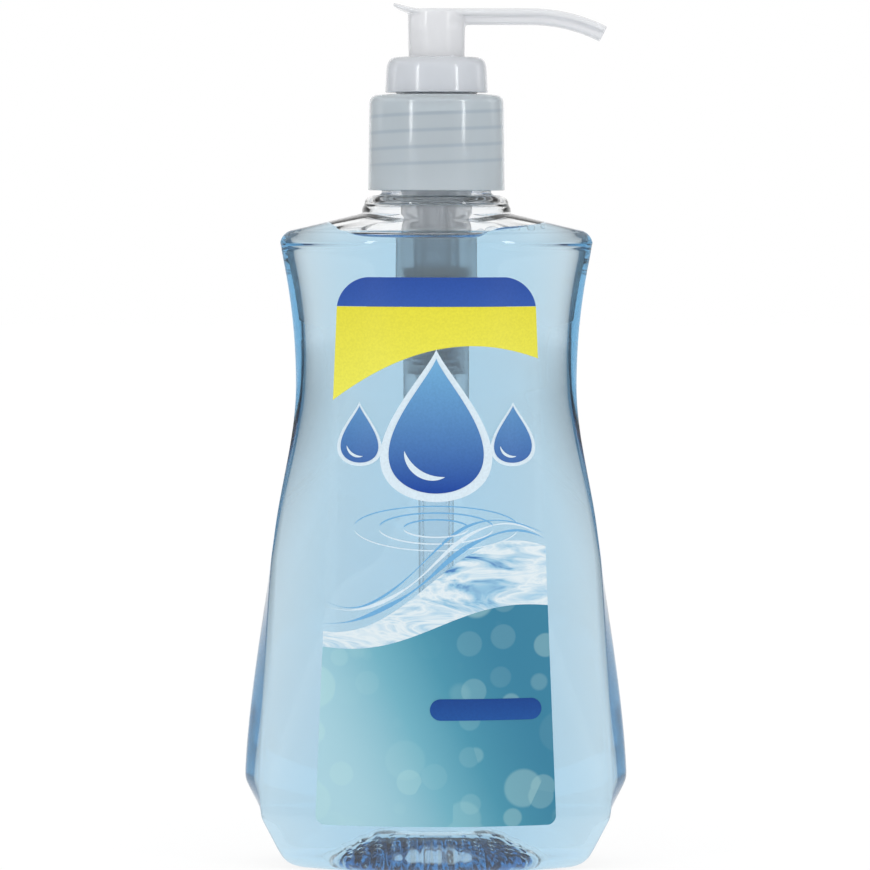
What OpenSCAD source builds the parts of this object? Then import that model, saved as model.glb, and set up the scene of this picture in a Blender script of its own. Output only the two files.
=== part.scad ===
// Liquid soap bottle with a lock-down lotion pump, in millimetres.
// +Z is up, the front label faces -Y and the spout points to +X.
// The origin is the centre of the base, on the pump's axis.
// The pump is shown pressed down and locked, as it is packed.

/* [Bottle outline] */
// Widest width, across the side bulges low on the body
hip_w = 77.5; // [74:0.1:84]
// Height of the widest width
hip_z = 22; // [18:0.5:24]
// Width part of the way up the taper
thigh_w = 65.5; // [63:0.1:69]
// Height of that width
thigh_z = 68.7; // [60:0.1:76]
// Width at the waist
waist_w = 57.2; // [54:0.1:61]
// Height of the waist
waist_z = 97.5; // [90:0.1:102]
// Width just under the shoulder
shoulder_w = 63.7; // [62.8:0.1:66]
// Height at which the shoulder starts to round over
shoulder_z = 126.2; // [122:0.1:134]
// Slope of the sides where they meet the shoulder, sideways per unit of height
shoulder_flare = 0.235; // [0.1:0.005:0.35]
// Radius from the sides to the shoulder
shoulder_r = 3; // [2:0.1:4]
// Fall of the shoulder from the neck to the sides, in degrees
shoulder_tilt = 13.6; // [8:0.1:20]
// Width across the side chamfers, extended down to the floor
foot_w = 59.8; // [56:0.1:64]
// Lean of the side chamfers from the vertical, in degrees
chamfer_lean = 28.1; // [20:0.1:32]
// Width of the flat that stands on the floor
stand_w = 52.4; // [48:0.1:54]
// Height over which the bottom edge is rounded
foot_rise = 3.2; // [2:0.1:5]

/* [Bottle depth] */
// Depth of the body at the base, front to back
base_depth = 39.4; // [36:0.1:41]
// Depth of the body at the shoulder
top_depth = 35; // [33.5:0.1:38]
// Fall of each panel from its middle to its edges at the base
base_crown = 9; // [5:0.1:10]
// The same fall at the shoulder, where the panels meet at narrow edges
top_crown = 14.4; // [11:0.1:14.6]
// Width between the panel edges near the base
panel_base_w = 71.4; // [68:0.1:73]
// Narrowing of the panels for each unit of height, on each side
panel_taper = 0.035; // [0:0.005:0.05]
// Radius of the vertical panel edges
panel_edge_r = 1.5; // [1:0.1:2.1]
// How soft the ridge down the middle of each side is, from 1 for a sharp one to 2 for a round side
side_softness = 1.2; // [1:0.05:2]

/* [Bottle wall and base] */
// Wall of the body
wall = 0.7; // [0.4:0.05:1]
// Thickness of the base
floor_t = 0.9; // [0.6:0.05:1.4]
// Height of the raised middle of the base
pushup_h = 6.5; // [3:0.1:7.5]

/* [Neck] */
// Radius of the bulge at the foot of the neck
root_r = 15.2; // [14.9:0.1:15.6]
// Height of that bulge above the end of the shoulder's slope
root_h = 3.7; // [3:0.1:4.5]
// Outer radius of the neck under the closure
neck_r = 11.1; // [10.9:0.05:11.3]
// Bore radius of the neck
neck_bore_r = 9.4; // [9.2:0.05:9.6]
// Length of the neck above the bulge
neck_h = 16.8; // [16:0.1:20]

/* [Closure] */
// Radius of the closure at its open end
closure_r = 13.9; // [13.5:0.05:14.5]
// Taper of the closure, radius lost up its height
closure_taper = 0.27; // [0:0.01:0.4]
// Gap between the neck's bulge and the closure
closure_lift = 0.8; // [0.4:0.1:1.2]
// Side wall of the closure
closure_wall = 1.3; // [1:0.05:1.5]
// Top wall of the closure
closure_top_t = 1.2; // [0.9:0.05:1.6]
// Radius of the closure's top edge
closure_edge_r = 1.2; // [0.6:0.1:1.2]
// Thickness of the gasket
gasket_t = 1; // [0.6:0.1:1.6]

/* [Lock ring] */
// Radius of the lock ring at its foot
ring_r = 10.43; // [10.1:0.01:11]
// Taper of the lock ring, radius lost up its height
ring_taper = 0.36; // [0:0.01:0.5]
// Height of the lock ring
ring_h = 7.2; // [6:0.1:9]
// Gap between the closure and the lock ring
ring_lift = 0.4; // [0.2:0.1:0.8]
// Outer wall of the lock ring
ring_wall = 1.2; // [0.9:0.05:1.3]
// Top wall of the lock ring
ring_top_t = 1.4; // [1:0.1:1.9]
// Radius of the lock ring's top edge
ring_edge_r = 1.8; // [0.8:0.1:2]
// Wall of the guide sleeve that hangs from the lock ring
sleeve_wall = 1.1; // [0.9:0.05:1.15]
// Length of the sleeve below the top of the neck
sleeve_drop = 8.1; // [7:0.1:10]

/* [Pump cylinder] */
// Bore radius of the cylinder
bore_r = 6; // [5.9:0.05:6.1]
// Wall of the cylinder
cylinder_wall = 1.2; // [0.9:0.05:1.4]
// Thickness of the flange that rests on the gasket
flange_t = 1.2; // [0.9:0.1:1.8]
// Radius of that flange
flange_r = 10.8; // [10.2:0.1:11.1]
// Wall of the wide cup at the top of the cylinder
cup_wall = 1.2; // [0.9:0.05:1.3]
// Bore radius of the narrow chamber under the cylinder
chamber_r = 4.7; // [4.5:0.05:4.9]
// Wall of that chamber
chamber_wall = 1; // [0.8:0.05:1.3]
// Length of the narrow chamber, down to the ball cage
chamber_h = 11; // [10:0.1:13]
// Length of the socket for the dip tube
socket_h = 7.5; // [5:0.1:10]

/* [Dip tube and inlet valve] */
// Outer radius of the dip tube
tube_r = 3.2; // [2.9:0.05:3.4]
// Wall of the dip tube
tube_wall = 0.9; // [0.6:0.05:1.1]
// Gap between the dip tube's end and the bottle's raised base
tube_foot_gap = 1.6; // [1.4:0.1:4]
// Radius of the inlet ball
ball_r = 2.4; // [2.3:0.05:2.6]
// Radius of the hole that the ball closes
seat_r = 1.8; // [1.5:0.05:2]
// Rise of the ball off its seat
ball_rise = 1.3; // [0.8:0.1:1.8]

/* [Piston and spring] */
// Stroke of the pump head
stroke = 13; // [10:0.5:13]
// Height of the piston
piston_h = 8; // [7:0.1:8.5]
// Outer radius of the stem
stem_r = 4; // [3.9:0.05:4.1]
// Bore radius of the stem
stem_bore_r = 2.2; // [1.8:0.05:2.4]
// Diameter of the spring's wire
wire_d = 0.9; // [0.6:0.05:1]
// Turns of the spring
spring_turns = 8; // [6:1:9]

/* [Pump head] */
// Outer radius of the head's skirt
skirt_r = 5.72; // [5.6:0.01:5.8]
// Height of the head above the lock ring
head_h = 9.75; // [9:0.05:12]
// Straight length of the spout from the pump's axis
spout_run = 19; // [14:0.5:24]
// Radius of the spout's downward bend
spout_bend_r = 33; // [25:1:45]
// Angle through which the spout bends down, in degrees
spout_bend = 26.6; // [15:0.1:35]
// Thickness of the spout, top to bottom
spout_t = 3.4; // [3.2:0.1:4]
// Width of the spout's lip at the head
spout_root_w = 9.4; // [8:0.1:11]
// Width of the spout's lip at its tip
spout_tip_w = 6; // [5:0.1:8]
// Radius of the spout's channel
channel_r = 1.05; // [0.9:0.05:1.1]
// Length of the head's socket for the stem
socket_l = 11.5; // [8:0.1:12]
// Reach of the thumb tab behind the pump's axis
tab_reach = 8.7; // [7.5:0.1:10]
// Thickness of the thumb tab
tab_t = 1.4; // [1:0.1:1.8]

/* [Labels] */
// Height of the labels' lower edge
label_z = 9.7; // [8:0.1:14]
// Gap between the labels' upper edge and the start of the shoulder's rounding
label_gap = 6.4; // [4:0.1:12]
// Width of the labels at the bottom
label_foot_w = 48.6; // [44:0.1:52]
// Width of the labels at the top
label_top_w = 39.6; // [36:0.1:44]
// Corner radius at the top of the labels
label_top_r = 6.5; // [2:0.1:8]
// Corner radius at the bottom of the labels
label_foot_r = 2; // [0.5:0.1:5]
// Distance of the back label's sides inside those of the front label
back_inset = 5; // [3:0.1:8]
// Distance of the back label's upper edge below that of the front label
back_drop = 6; // [4:0.1:10]
// Height of the blue band
band_h = 5.9; // [4:0.1:8]
// Height of the yellow band in the middle
yellow_h = 8.6; // [5:0.1:12]
// Rise of the yellow band's lower edge from the middle to the right, and its fall to the left
yellow_tilt = 4.2; // [0:0.1:6]
// Fall of that edge from the middle to both ends
yellow_arch = 6.1; // [0:0.1:8]
// Width of the water drop
drop_w = 19; // [14:0.1:24]
// Height of the water drop
drop_h = 27; // [20:0.1:28]
// Height of the water drop's lower end above the floor
drop_z = 76.6; // [70:0.1:77]
// Height of the teal field's upper edge above the label's foot
teal_h = 40; // [30:0.1:46]
// Swing of the teal field's upper edge
teal_swing = 2.4; // [0:0.1:4]
// Rise of that edge from the middle to the right, and its fall to the left
teal_tilt = 3; // [0:0.1:5]
// Height of the pale wave above the teal field
wave_h = 13; // [8:0.1:16]
// Height of the blue pill above the label's foot
pill_z = 21.4; // [12:0.1:24]
// Height of the blue pill
pill_h = 4.3; // [3:0.1:6]
// Length of the blue pill
pill_l = 22.4; // [16:0.1:24]
// Distance of the pill's middle from the label's middle
pill_x = 10; // [6:0.1:12]

/* [Liquid] */
// Height of the liquid above the start of the shoulder's rounding
fill_rise = 2.7; // [2.4:0.1:3.2]

/* [Fits] */
// Radial clearance of sliding and turning fits
run_gap = 0.05; // [0.02:0.01:0.1]
// Clearance between pieces that are pushed together and stay
press_gap = 0.02; // [0.01:0.01:0.05]
// Clearance of the liquid round the parts that lift out of it
soap_gap = 0.3; // [0.2:0.05:0.5]
// Clearance between the liquid and the bottle's wall
wet_gap = 0.05; // [0.02:0.01:0.1]
// Clearance between a film and what it lies on
film_gap = 0.03; // [0.01:0.01:0.06]
// Thickness of a label film
film_t = 0.08; // [0.05:0.01:0.12]
// Thickness of a printed field
ink_t = 0.05; // [0.03:0.01:0.08]

/* [Hidden] */
$fn = 96;

// Points of a quarter of the body's section: along the panel, its edge and the side
panel_n = 6;
edge_n = 3;
side_n = 3;

// Levels of the body: foot, chamfer, taper, shoulder edge and shoulder
foot_n = 4;
chamfer_n = 6;
taper_n = 18;
round_n = 4;
slope_n = 4;

// Depth of the panel's edge below which the panels may not meet
min_edge_d = 2.2;
// Wall at the foot of the neck
root_wall = 1.1;
// Radius of the curve between chamfer and bulge
hip_blend = 0.6;
// Slope of the sides at the widest width, sideways per unit of height
hip_slope = -0.07;
// Share of the standing outline that the raised middle of the base takes, foot and top
pushup_foot = 0.88;
pushup_top = 0.36;
// Share of the standing outline at its middle ring
pushup_eye = 0.18;

// Shoulder: end of its rounding, and the foot of the neck
slope_w = shoulder_w / 2 - shoulder_r * (1 - cos(90 - shoulder_tilt));
slope_z = shoulder_z + shoulder_r * sin(90 - shoulder_tilt);
root_z = slope_z + (slope_w - root_r) * tan(shoulder_tilt);
neck_z = root_z + root_h;
neck_top_z = neck_z + neck_h;
fill_z = shoulder_z + fill_rise;
// Rounding of the front and back edges of the shoulder
shoulder_ry = 1;

// Closure and lock ring
closure_z = neck_z + closure_lift;
flange_z = neck_top_z + gasket_t;
closure_top_z = flange_z + flange_t + closure_top_t;
ring_z = closure_top_z + ring_lift;
ring_top_z = ring_z + ring_h;
ring_deck_z = ring_top_z - ring_top_t;

// Guide sleeve, cup and cylinder
sleeve_bore_r = skirt_r + run_gap;
sleeve_r = sleeve_bore_r + sleeve_wall;
cup_bore_r = sleeve_r + run_gap;
cup_r = cup_bore_r + cup_wall;
sleeve_z = neck_top_z - sleeve_drop;
lip_t = 1.2;
sleeve_foot_gap = 0.6;
cup_z = sleeve_z - sleeve_foot_gap;
cylinder_r = bore_r + cylinder_wall;
// Slant under the wide cup
cup_slant = 1.5;

// Stem, from its top stop down to the piston
stop_clear = 0.3;
stop_r = bore_r - stop_clear;
stop_t = 1.2;
stop_gap = 0.1;
stop_z = sleeve_z - stroke - stop_gap - stop_t;
stem_foot_gap = 1;
piston_top_gap = 9.2;
piston_z = stop_z - piston_top_gap - piston_h;
seat_t = 1.5;
seat_z = piston_z - seat_t;
stem_z = piston_z + stem_foot_gap;
port_w = 1.8;
port_z = piston_z + 1.6;
port_h = 3;

// Narrow chamber, ball cage, ball and socket
chamber_top_z = seat_z - 1;
chamber_z = chamber_top_z - chamber_h;
chamber_out_r = chamber_r + chamber_wall;
cage_t = 1.2;
ball_clear = 0.8;
ball_hole_r = ball_r + ball_clear;
// Clearance between the ball and its seat
ball_seat_gap = 0.01;
ball_centre_h = sqrt(ball_r * ball_r - seat_r * seat_r);
cage_stop_gap = 0.05;
ball_seat_z = chamber_z - ball_rise - cage_stop_gap - ball_r - ball_centre_h;
ball_z = ball_seat_z + ball_centre_h;
web_t = 1.2;
tube_top_z = ball_seat_z - web_t;
socket_wall = 1.1;
socket_r = tube_r + press_gap + socket_wall;
socket_z = tube_top_z - socket_h;
tube_z = pushup_h + floor_t + tube_foot_gap;

// Spring
spring_clear = 0.35;
coil_r = chamber_r - spring_clear - wire_d / 2;
spring_z = chamber_z + cage_t + film_gap;
spring_top_z = seat_z - film_gap;
wire_sides = 8;
turn_n = 14;

// Pump head
skirt_top_r = skirt_r + 0.1;
skirt_wall = 1;
skirt_foot_gap = 0.6;
skirt_z = sleeve_z + lip_t + skirt_foot_gap;
head_top_z = ring_top_z + head_h;
head_edge_r = 0.85;
// Depth of the stem's socket below the top of the head
socket_depth = 4.35;
socket_top_z = head_top_z - socket_depth;
socket_foot_z = socket_top_z - socket_l;
// Height of the spout's lip above the top of the head
spout_step = 0.15;
spout_z = head_top_z + spout_step - spout_t / 2;
bend_n = 8;
// Share of the spout's narrowing that its straight length takes
run_share = 0.55;
// Half-width of the wall round the spout's channel, under the lip
channel_out_w = 1.9;
channel_drop = 0.2;
rise_bore_r = 1.6;
// Half-width of the thumb tab where it starts
tab_half_w = 4.9;

// Printed fields, from the label's foot
label_top_z = shoulder_z - label_gap;
label_h = label_top_z - label_z;
band_z = label_top_z - band_h;
ink_y = film_gap + film_t + film_gap;
top_ink_y = ink_y + ink_t + film_gap;

// Colours
clear_blue = [0.84, 0.91, 0.95, 0.35];
soap_blue = [0.69, 0.85, 0.92, 0.75];
film_clear = [0.86, 0.92, 0.95, 0.4];
band_blue = [0.18, 0.33, 0.6];
band_yellow = [0.87, 0.85, 0.32];
drop_blue = [0.16, 0.36, 0.68];
wave_pale = [0.74, 0.84, 0.89];
teal = [0.16, 0.54, 0.67];
pill_blue = [0.15, 0.32, 0.64];
frosted = [0.8, 0.84, 0.87];
milky = [0.87, 0.88, 0.89];

// A smooth rise between two stations [height, half-width, slope]
function blend(z, a, b) =
    let (h = b[0] - a[0], s = (z - a[0]) / h)
    (2 * pow(s, 3) - 3 * pow(s, 2) + 1) * a[1] + (pow(s, 3) - 2 * pow(s, 2) + s) * h * a[2]
        + (3 * pow(s, 2) - 2 * pow(s, 3)) * b[1] + (pow(s, 3) - pow(s, 2)) * h * b[2];

// Half-width of the sides above the chamfer, through hip, thigh, waist and shoulder
thigh_slope = (waist_w - hip_w) / 2 / (waist_z - hip_z);
hip = [hip_z, hip_w / 2, hip_slope];
thigh = [thigh_z, thigh_w / 2, thigh_slope];
waist = [waist_z, waist_w / 2, 0];
shoulder = [shoulder_z, shoulder_w / 2, shoulder_flare];
function flank_w(z) =
    z < hip_z ? hip[1] + (z - hip_z) * hip[2]
    : z < thigh_z ? blend(z, hip, thigh)
    : z < waist_z ? blend(z, thigh, waist)
    : blend(min(z, shoulder_z), waist, shoulder);

// Half-width of the chamfers, and of the whole body where the two meet in a small curve
function chamfer_w(z) = foot_w / 2 + z * tan(chamfer_lean);
function body_w(z) =
    let (a = chamfer_w(z), b = flank_w(z))
    (a + b - sqrt(pow(a - b, 2) + pow(hip_blend, 2))) / 2;

// Half-width between the panel edges, half-depth at the middle, and the panel's fall
function panel_w(z) = min(body_w(z), panel_base_w / 2 - z * panel_taper);
function depth(z) = (base_depth + (top_depth - base_depth) * min(z / shoulder_z, 1)) / 2;
function crown(z) = base_crown + (top_crown - base_crown) * min(max(z, 0) / shoulder_z, 1);

// A quarter of the section, from the middle of the front to the middle of the side:
// a rounded rectangle w by d, its front crowned by c and its side pushed out from p to w at a soft ridge
function quarter(w, p, d, c, r) =
    let (e = max(d - c, min_edge_d), k = d - e,
        front = [for (i = [0 : panel_n - 1]) [(p - r) * i / panel_n, -e]],
        edge = [for (i = [0 : edge_n - 1])
            let (a = 90 * i / edge_n)
            [p - r + r * sin(a), -e + r - r * cos(a)]],
        side = [for (i = [0 : side_n]) [p, (r - e) * (1 - i / side_n)]])
    [for (q = concat(front, edge, side))
        let (out = (w / p - 1) * (1 - pow(abs(q[1] / e), side_softness)))
        [q[0] * (1 + out), q[1] * (1 + k / e * (1 - pow(q[0] / p, 2)))]];

// A quarter of a circle with the same number of points
function quarter_circle(r) =
    let (n = panel_n + edge_n + side_n)
    [for (i = [0 : n]) [r * sin(90 * i / n), -r * cos(90 * i / n)]];

function mix(a, b, s) = [for (i = [0 : len(a) - 1]) a[i] * (1 - s) + b[i] * s];

// A closed ring at height z from a quarter of it
function ring(q, z) =
    let (m = len(q) - 1)
    concat([for (i = [0 : m - 1]) [q[i][0], q[i][1], z]],
        [for (i = [m : -1 : 1]) [q[i][0], -q[i][1], z]],
        [for (i = [0 : m - 1]) [-q[i][0], -q[i][1], z]],
        [for (i = [m : -1 : 1]) [-q[i][0], q[i][1], z]]);

// The body's section at height z, set in by t all round
function body_quarter(z, t) =
    quarter(body_w(z) - t, panel_w(z) - t, depth(z) - t, crown(z) - t * 0.3, panel_edge_r - t * 0.5);

// The standing outline, and the rounded foot above it
function foot_level(s, t) =
    let (top_w = body_w(foot_rise),
        w = pow(1 - s, 2) * stand_w / 2 + 2 * s * (1 - s) * foot_w / 2 + s * s * top_w,
        z = foot_rise * s * s,
        in_y = foot_rise - sqrt(pow(foot_rise, 2) - pow(foot_rise - z, 2)),
        d = depth(z) - in_y,
        up = t / wall * floor_t * (1 - s))
    ring(quarter(w - t, w - t, d - t, crown(z) - t * 0.3, panel_edge_r - t * 0.5), z + up);

function foot_levels(t) = [for (i = [0 : foot_n]) foot_level(i / foot_n, t)];
function wall_levels(t) =
    let (chamfer_step = (hip_z - foot_rise) / chamfer_n, taper_step = (shoulder_z - hip_z) / taper_n)
    concat([for (i = [1 : chamfer_n]) let (z = foot_rise + i * chamfer_step) ring(body_quarter(z, t), z)],
        [for (i = [1 : taper_n]) let (z = hip_z + i * taper_step) ring(body_quarter(z, t), z)]);

// The section where the shoulder's rounding has turned by angle a
function round_quarter(a, t) =
    let (w = shoulder_w / 2 - shoulder_r + (shoulder_r - t) * cos(a),
        d = depth(shoulder_z) - t - shoulder_ry * (1 - cos(a)))
    quarter(w, w, d, crown(shoulder_z) - t * 0.3, panel_edge_r - t * 0.5);
function round_z(a, t) = shoulder_z + (shoulder_r - t) * sin(a);
function round_levels(t) =
    [for (i = [1 : round_n])
        let (a = (90 - shoulder_tilt) * i / round_n)
        ring(round_quarter(a, t), round_z(a, t))];

// The shoulder's slope, from that section at s = 0 to the neck's circle at s = 1
function slope_level(s, t) =
    let (a = 90 - shoulder_tilt, k = t > 0 ? root_wall / wall : 0,
        z0 = round_z(a, t), z1 = root_z - t * k)
    ring(mix(round_quarter(a, t), quarter_circle(root_r - t * k), s), z0 + (z1 - z0) * s);
function slope_levels(t) = [for (i = [1 : slope_n]) slope_level(i / slope_n, t)];

// Rings of the raised middle of the base, from the outside inwards
function scaled(points, k, z) = [for (p = points) [p[0] * k, p[1] * k, z]];
function base_levels(t) =
    let (rim = foot_level(0, t), z = t / wall * floor_t, top = pushup_h + z)
    [scaled(rim, pushup_foot, z), scaled(rim, pushup_top, top), scaled(rim, pushup_eye, top)];
function reversed(list) = [for (i = [len(list) - 1 : -1 : 0]) list[i]];

// A closed solid from a stack of rings, with a point at each end
module stack(rings, low, high) {
    n = len(rings[0]);
    m = len(rings);
    points = concat([low], [for (r = rings) each r], [high]);
    last = len(points) - 1;
    low_cap = [for (j = [0 : n - 1]) [0, 1 + j, 1 + (j + 1) % n]];
    walls = [for (i = [0 : m - 2], j = [0 : n - 1])
        let (a = 1 + i * n + j, b = 1 + i * n + (j + 1) % n)
        each [[a, a + n, b + n], [a, b + n, b]]];
    high_cap = [for (j = [0 : n - 1]) [last, last - n + (j + 1) % n, last - n + j]];
    polyhedron(points, concat(low_cap, walls, high_cap), convexity = 8);
}

// An upright ring or disc from an outline of [radius, height] points
module turned(outline) {
    rotate_extrude() polygon(outline);
}

// Points of a quarter round from angle a0 to a1 about [x, z]
function arc(x, z, r, a0, a1, n) =
    [for (i = [0 : n])
        let (a = a0 + (a1 - a0) * i / n)
        [x + r * cos(a), z + r * sin(a)]];

// A film or printed field on the front: at(u, v) gives [x, z] for u and v from 0 to 1
module film(at, nu, nv, gap, t) {
    loops = [for (j = [0 : nv])
        let (row = [for (i = [0 : nu]) at(i / nu, j / nv)])
        concat([for (p = row) [p[0], front_y(p[0], p[1]) - gap - t, p[1]]],
            [for (p = reversed(row)) [p[0], front_y(p[0], p[1]) - gap, p[1]]])];
    n = 2 * (nu + 1);
    points = [for (l = loops) each l];
    walls = [for (j = [0 : nv - 1], i = [0 : n - 1])
        let (a = j * n + i, b = j * n + (i + 1) % n)
        each [[a, a + n, b + n], [a, b + n, b]]];
    low_cap = [for (i = [0 : nu - 1]) each [[i, i + 1, n - 2 - i], [i, n - 2 - i, n - 1 - i]]];
    high_cap = [for (f = low_cap) [for (k = [2 : -1 : 0]) f[k] + nv * n]];
    polyhedron(points, concat(walls, low_cap, high_cap), convexity = 4);
}

// The outer surface of the front panel
function front_y(x, z) =
    let (e = max(depth(z) - crown(z), min_edge_d), k = depth(z) - e)
    -(e + k * (1 - pow(x / panel_w(z), 2)));

// Half-width of the label at height z, with its rounded corners
function corner_in(r, h) = h > 0 ? r - sqrt(max(r * r - h * h, 0)) : 0;
function label_half(z, drop = 0, inset = 0) =
    (label_foot_w + (label_top_w - label_foot_w) * (z - label_z) / label_h) / 2 - inset
        - corner_in(label_top_r, z - label_top_z + drop + label_top_r)
        - corner_in(label_foot_r, label_z + label_foot_r - z);

// Rows that crowd together towards both ends, where the corners are
function eased(v) = (1 - cos(180 * v)) / 2;

// Lower edge of the yellow band and upper edges of the waves, for f from -1 to 1 across the label
function yellow_edge(f) = band_z - yellow_h + yellow_tilt * f - yellow_arch * f * f;
function teal_edge(f) = label_z + teal_h + teal_swing * sin(150 * f) + teal_tilt * f;
function wave_edge(f) = teal_edge(f) + wave_h * (0.62 + 0.38 * sin(110 * f + 20));

// Rings of the body from the middle of its base up to the neck, set in by t
function shell_rings(t) =
    concat(reversed(base_levels(t)), foot_levels(t), wall_levels(t), round_levels(t), slope_levels(t));

// Rings of the neck: up outside over the bulge at its foot, over the mouth and down the bore
function neck_rings() =
    let (in_r = root_r - root_wall, bulge_r = 1.9, bulge_x = root_r - 0.55 - bulge_r, lip = 0.4,
        up = concat([[root_r - 0.15, root_z + 1]], arc(bulge_x, neck_z - bulge_r, bulge_r, 0, 90, 4),
            [[neck_r + lip, neck_z], [neck_r, neck_z + lip], [neck_r, neck_top_z - lip]]),
        down = [[neck_r - lip, neck_top_z], [neck_bore_r + lip, neck_top_z],
            [neck_bore_r, neck_top_z - lip], [neck_bore_r, neck_z - lip], [neck_bore_r + 0.6, neck_z - 1],
            [in_r - 2.2, neck_z - 1.3], [in_r - 0.5, neck_z - 2.2]])
    [for (q = concat(up, down)) ring(quarter_circle(q[0]), q[1])];

module bottle() {
    color(clear_blue) stack(concat(shell_rings(0), neck_rings(), reversed(shell_rings(wall))),
        [0, 0, pushup_h], [0, 0, pushup_h + floor_t]);
}

module soap() {
    color(soap_blue) {
        t = wall + wet_gap;
        a = 90 - shoulder_tilt;
        low = round_z(a, t);
        s = (fill_z - low) / (root_z - root_wall - low);
        rings = concat(reversed(base_levels(t)), foot_levels(t), wall_levels(t), round_levels(t),
            [slope_level(s, t)]);
        difference() {
            stack(rings, [0, 0, pushup_h + t / wall * floor_t], [0, 0, fill_z]);
            translate([0, 0, tube_z - soap_gap]) cylinder(r = tube_r + soap_gap, h = fill_z);
            translate([0, 0, socket_z - soap_gap]) cylinder(r = socket_r + soap_gap, h = fill_z);
            translate([0, 0, tube_top_z - soap_gap]) cylinder(r = chamber_out_r + soap_gap, h = fill_z);
            translate([0, 0, chamber_top_z - 2]) cylinder(r = cylinder_r + soap_gap, h = fill_z);
        }
    }
}

// Film that covers a whole label
function label_at(u, v, drop, inset) =
    let (z = label_z + (label_h - drop) * eased(v))
    [(2 * u - 1) * label_half(z, drop, inset), z];

// The field between two heights, full width, with lower and upper edges as functions of f
function field_at(u, v, low, high) =
    let (f = 2 * u - 1, z = low(f) + (high(f) - low(f)) * v)
    [f * (label_half(z) - film_gap), z];

module label_film(drop, inset) {
    film(function (u, v) label_at(u, v, drop, inset), 20, 22, film_gap, film_t);
}

module front_label() {
    color(film_clear) label_film(0, 0);
}

module blue_band(drop, inset) {
    film(function (u, v)
        let (z = band_z - drop + (band_h - film_gap) * sin(90 * v))
        [(2 * u - 1) * (label_half(z, drop, inset) - film_gap), z], 20, 7, ink_y, ink_t);
}

module label_blue_band() {
    color(band_blue) blue_band(0, 0);
}

module label_yellow_band() {
    color(band_yellow) film(function (u, v)
        field_at(u, v, function (f) yellow_edge(f), function (f) band_z - film_gap), 20, 5, ink_y, ink_t);
}

// A water drop: a circle's outline drawn in towards a point at the top
module label_water_drop() {
    tip = 0.12;
    color(drop_blue) film(function (u, v)
        let (a = 180 - 180 * v, w = sin(a) * pow(sin(a / 2), 1.5) / 0.7)
        [(2 * u - 1) * max(w * drop_w / 2, tip), drop_z + drop_h * (1 + cos(a)) / 2],
        8, 18, ink_y, ink_t);
}

module label_pale_wave() {
    color(wave_pale) film(function (u, v)
        field_at(u, v, function (f) teal_edge(f) + film_gap, function (f) wave_edge(f)),
        18, 4, ink_y, ink_t);
}

module label_teal_field() {
    color(teal) film(function (u, v)
        let (f = 2 * u - 1, foot = label_z + film_gap, z = foot + (teal_edge(f) - foot) * (1 - cos(90 * v)))
        [f * (label_half(z) - film_gap), z], 18, 10, ink_y, ink_t);
}

module label_blue_pill() {
    r = pill_h / 2;
    color(pill_blue) film(function (u, v)
        let (h = -cos(180 * v), l = pill_l / 2 - r + r * sqrt(max(1 - h * h, 0.001)))
        [pill_x + (2 * u - 1) * l, label_z + pill_z + r * (1 + h)], 8, 8, top_ink_y, ink_t);
}

module back_label() {
    color(film_clear) mirror([0, 1, 0]) label_film(back_drop, back_inset);
}

module back_blue_band() {
    color(band_blue) mirror([0, 1, 0]) blue_band(back_drop, back_inset);
}

module closure() {
    top_r = closure_r - closure_taper;
    in_r = closure_r - closure_wall;
    hole_r = cup_r + 2 * run_gap;
    color(frosted) turned(concat(
        [[in_r, closure_z + 0.4], [in_r + 0.4, closure_z], [closure_r - 0.2, closure_z],
        [closure_r, closure_z + 0.2]],
        arc(top_r - closure_edge_r, closure_top_z - closure_edge_r, closure_edge_r, 0, 90, 8),
        [[hole_r, closure_top_z], [hole_r, closure_top_z - closure_top_t],
        [in_r - closure_taper - 0.8, closure_top_z - closure_top_t],
        [in_r - closure_taper, closure_top_z - closure_top_t - 0.8]]));
}

module neck_gasket() {
    color(milky) translate([0, 0, neck_top_z]) difference() {
        cylinder(r = neck_r - 0.2, h = gasket_t);
        translate([0, 0, -1]) cylinder(r = neck_bore_r + 0.1, h = gasket_t + 2);
    }
}

// The lock ring: a cap over the cylinder's collar with a guide sleeve for the head
module lock_ring() {
    top_r = ring_r - ring_taper;
    groove_r = cup_r + press_gap;
    hem = 0.3;
    color(milky) turned(concat(
        [[sleeve_bore_r, sleeve_z + lip_t], [stem_r + 2 * run_gap, sleeve_z + lip_t],
        [stem_r + 2 * run_gap, sleeve_z], [sleeve_r, sleeve_z], [sleeve_r, ring_deck_z],
        [groove_r, ring_deck_z], [groove_r, ring_z + hem], [groove_r + hem, ring_z],
        [ring_r - hem, ring_z], [ring_r, ring_z + hem]],
        arc(top_r - ring_edge_r, ring_top_z - ring_edge_r, ring_edge_r, 0, 90, 8),
        [[sleeve_bore_r + hem, ring_top_z], [sleeve_bore_r, ring_top_z - hem]]));
}

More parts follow.
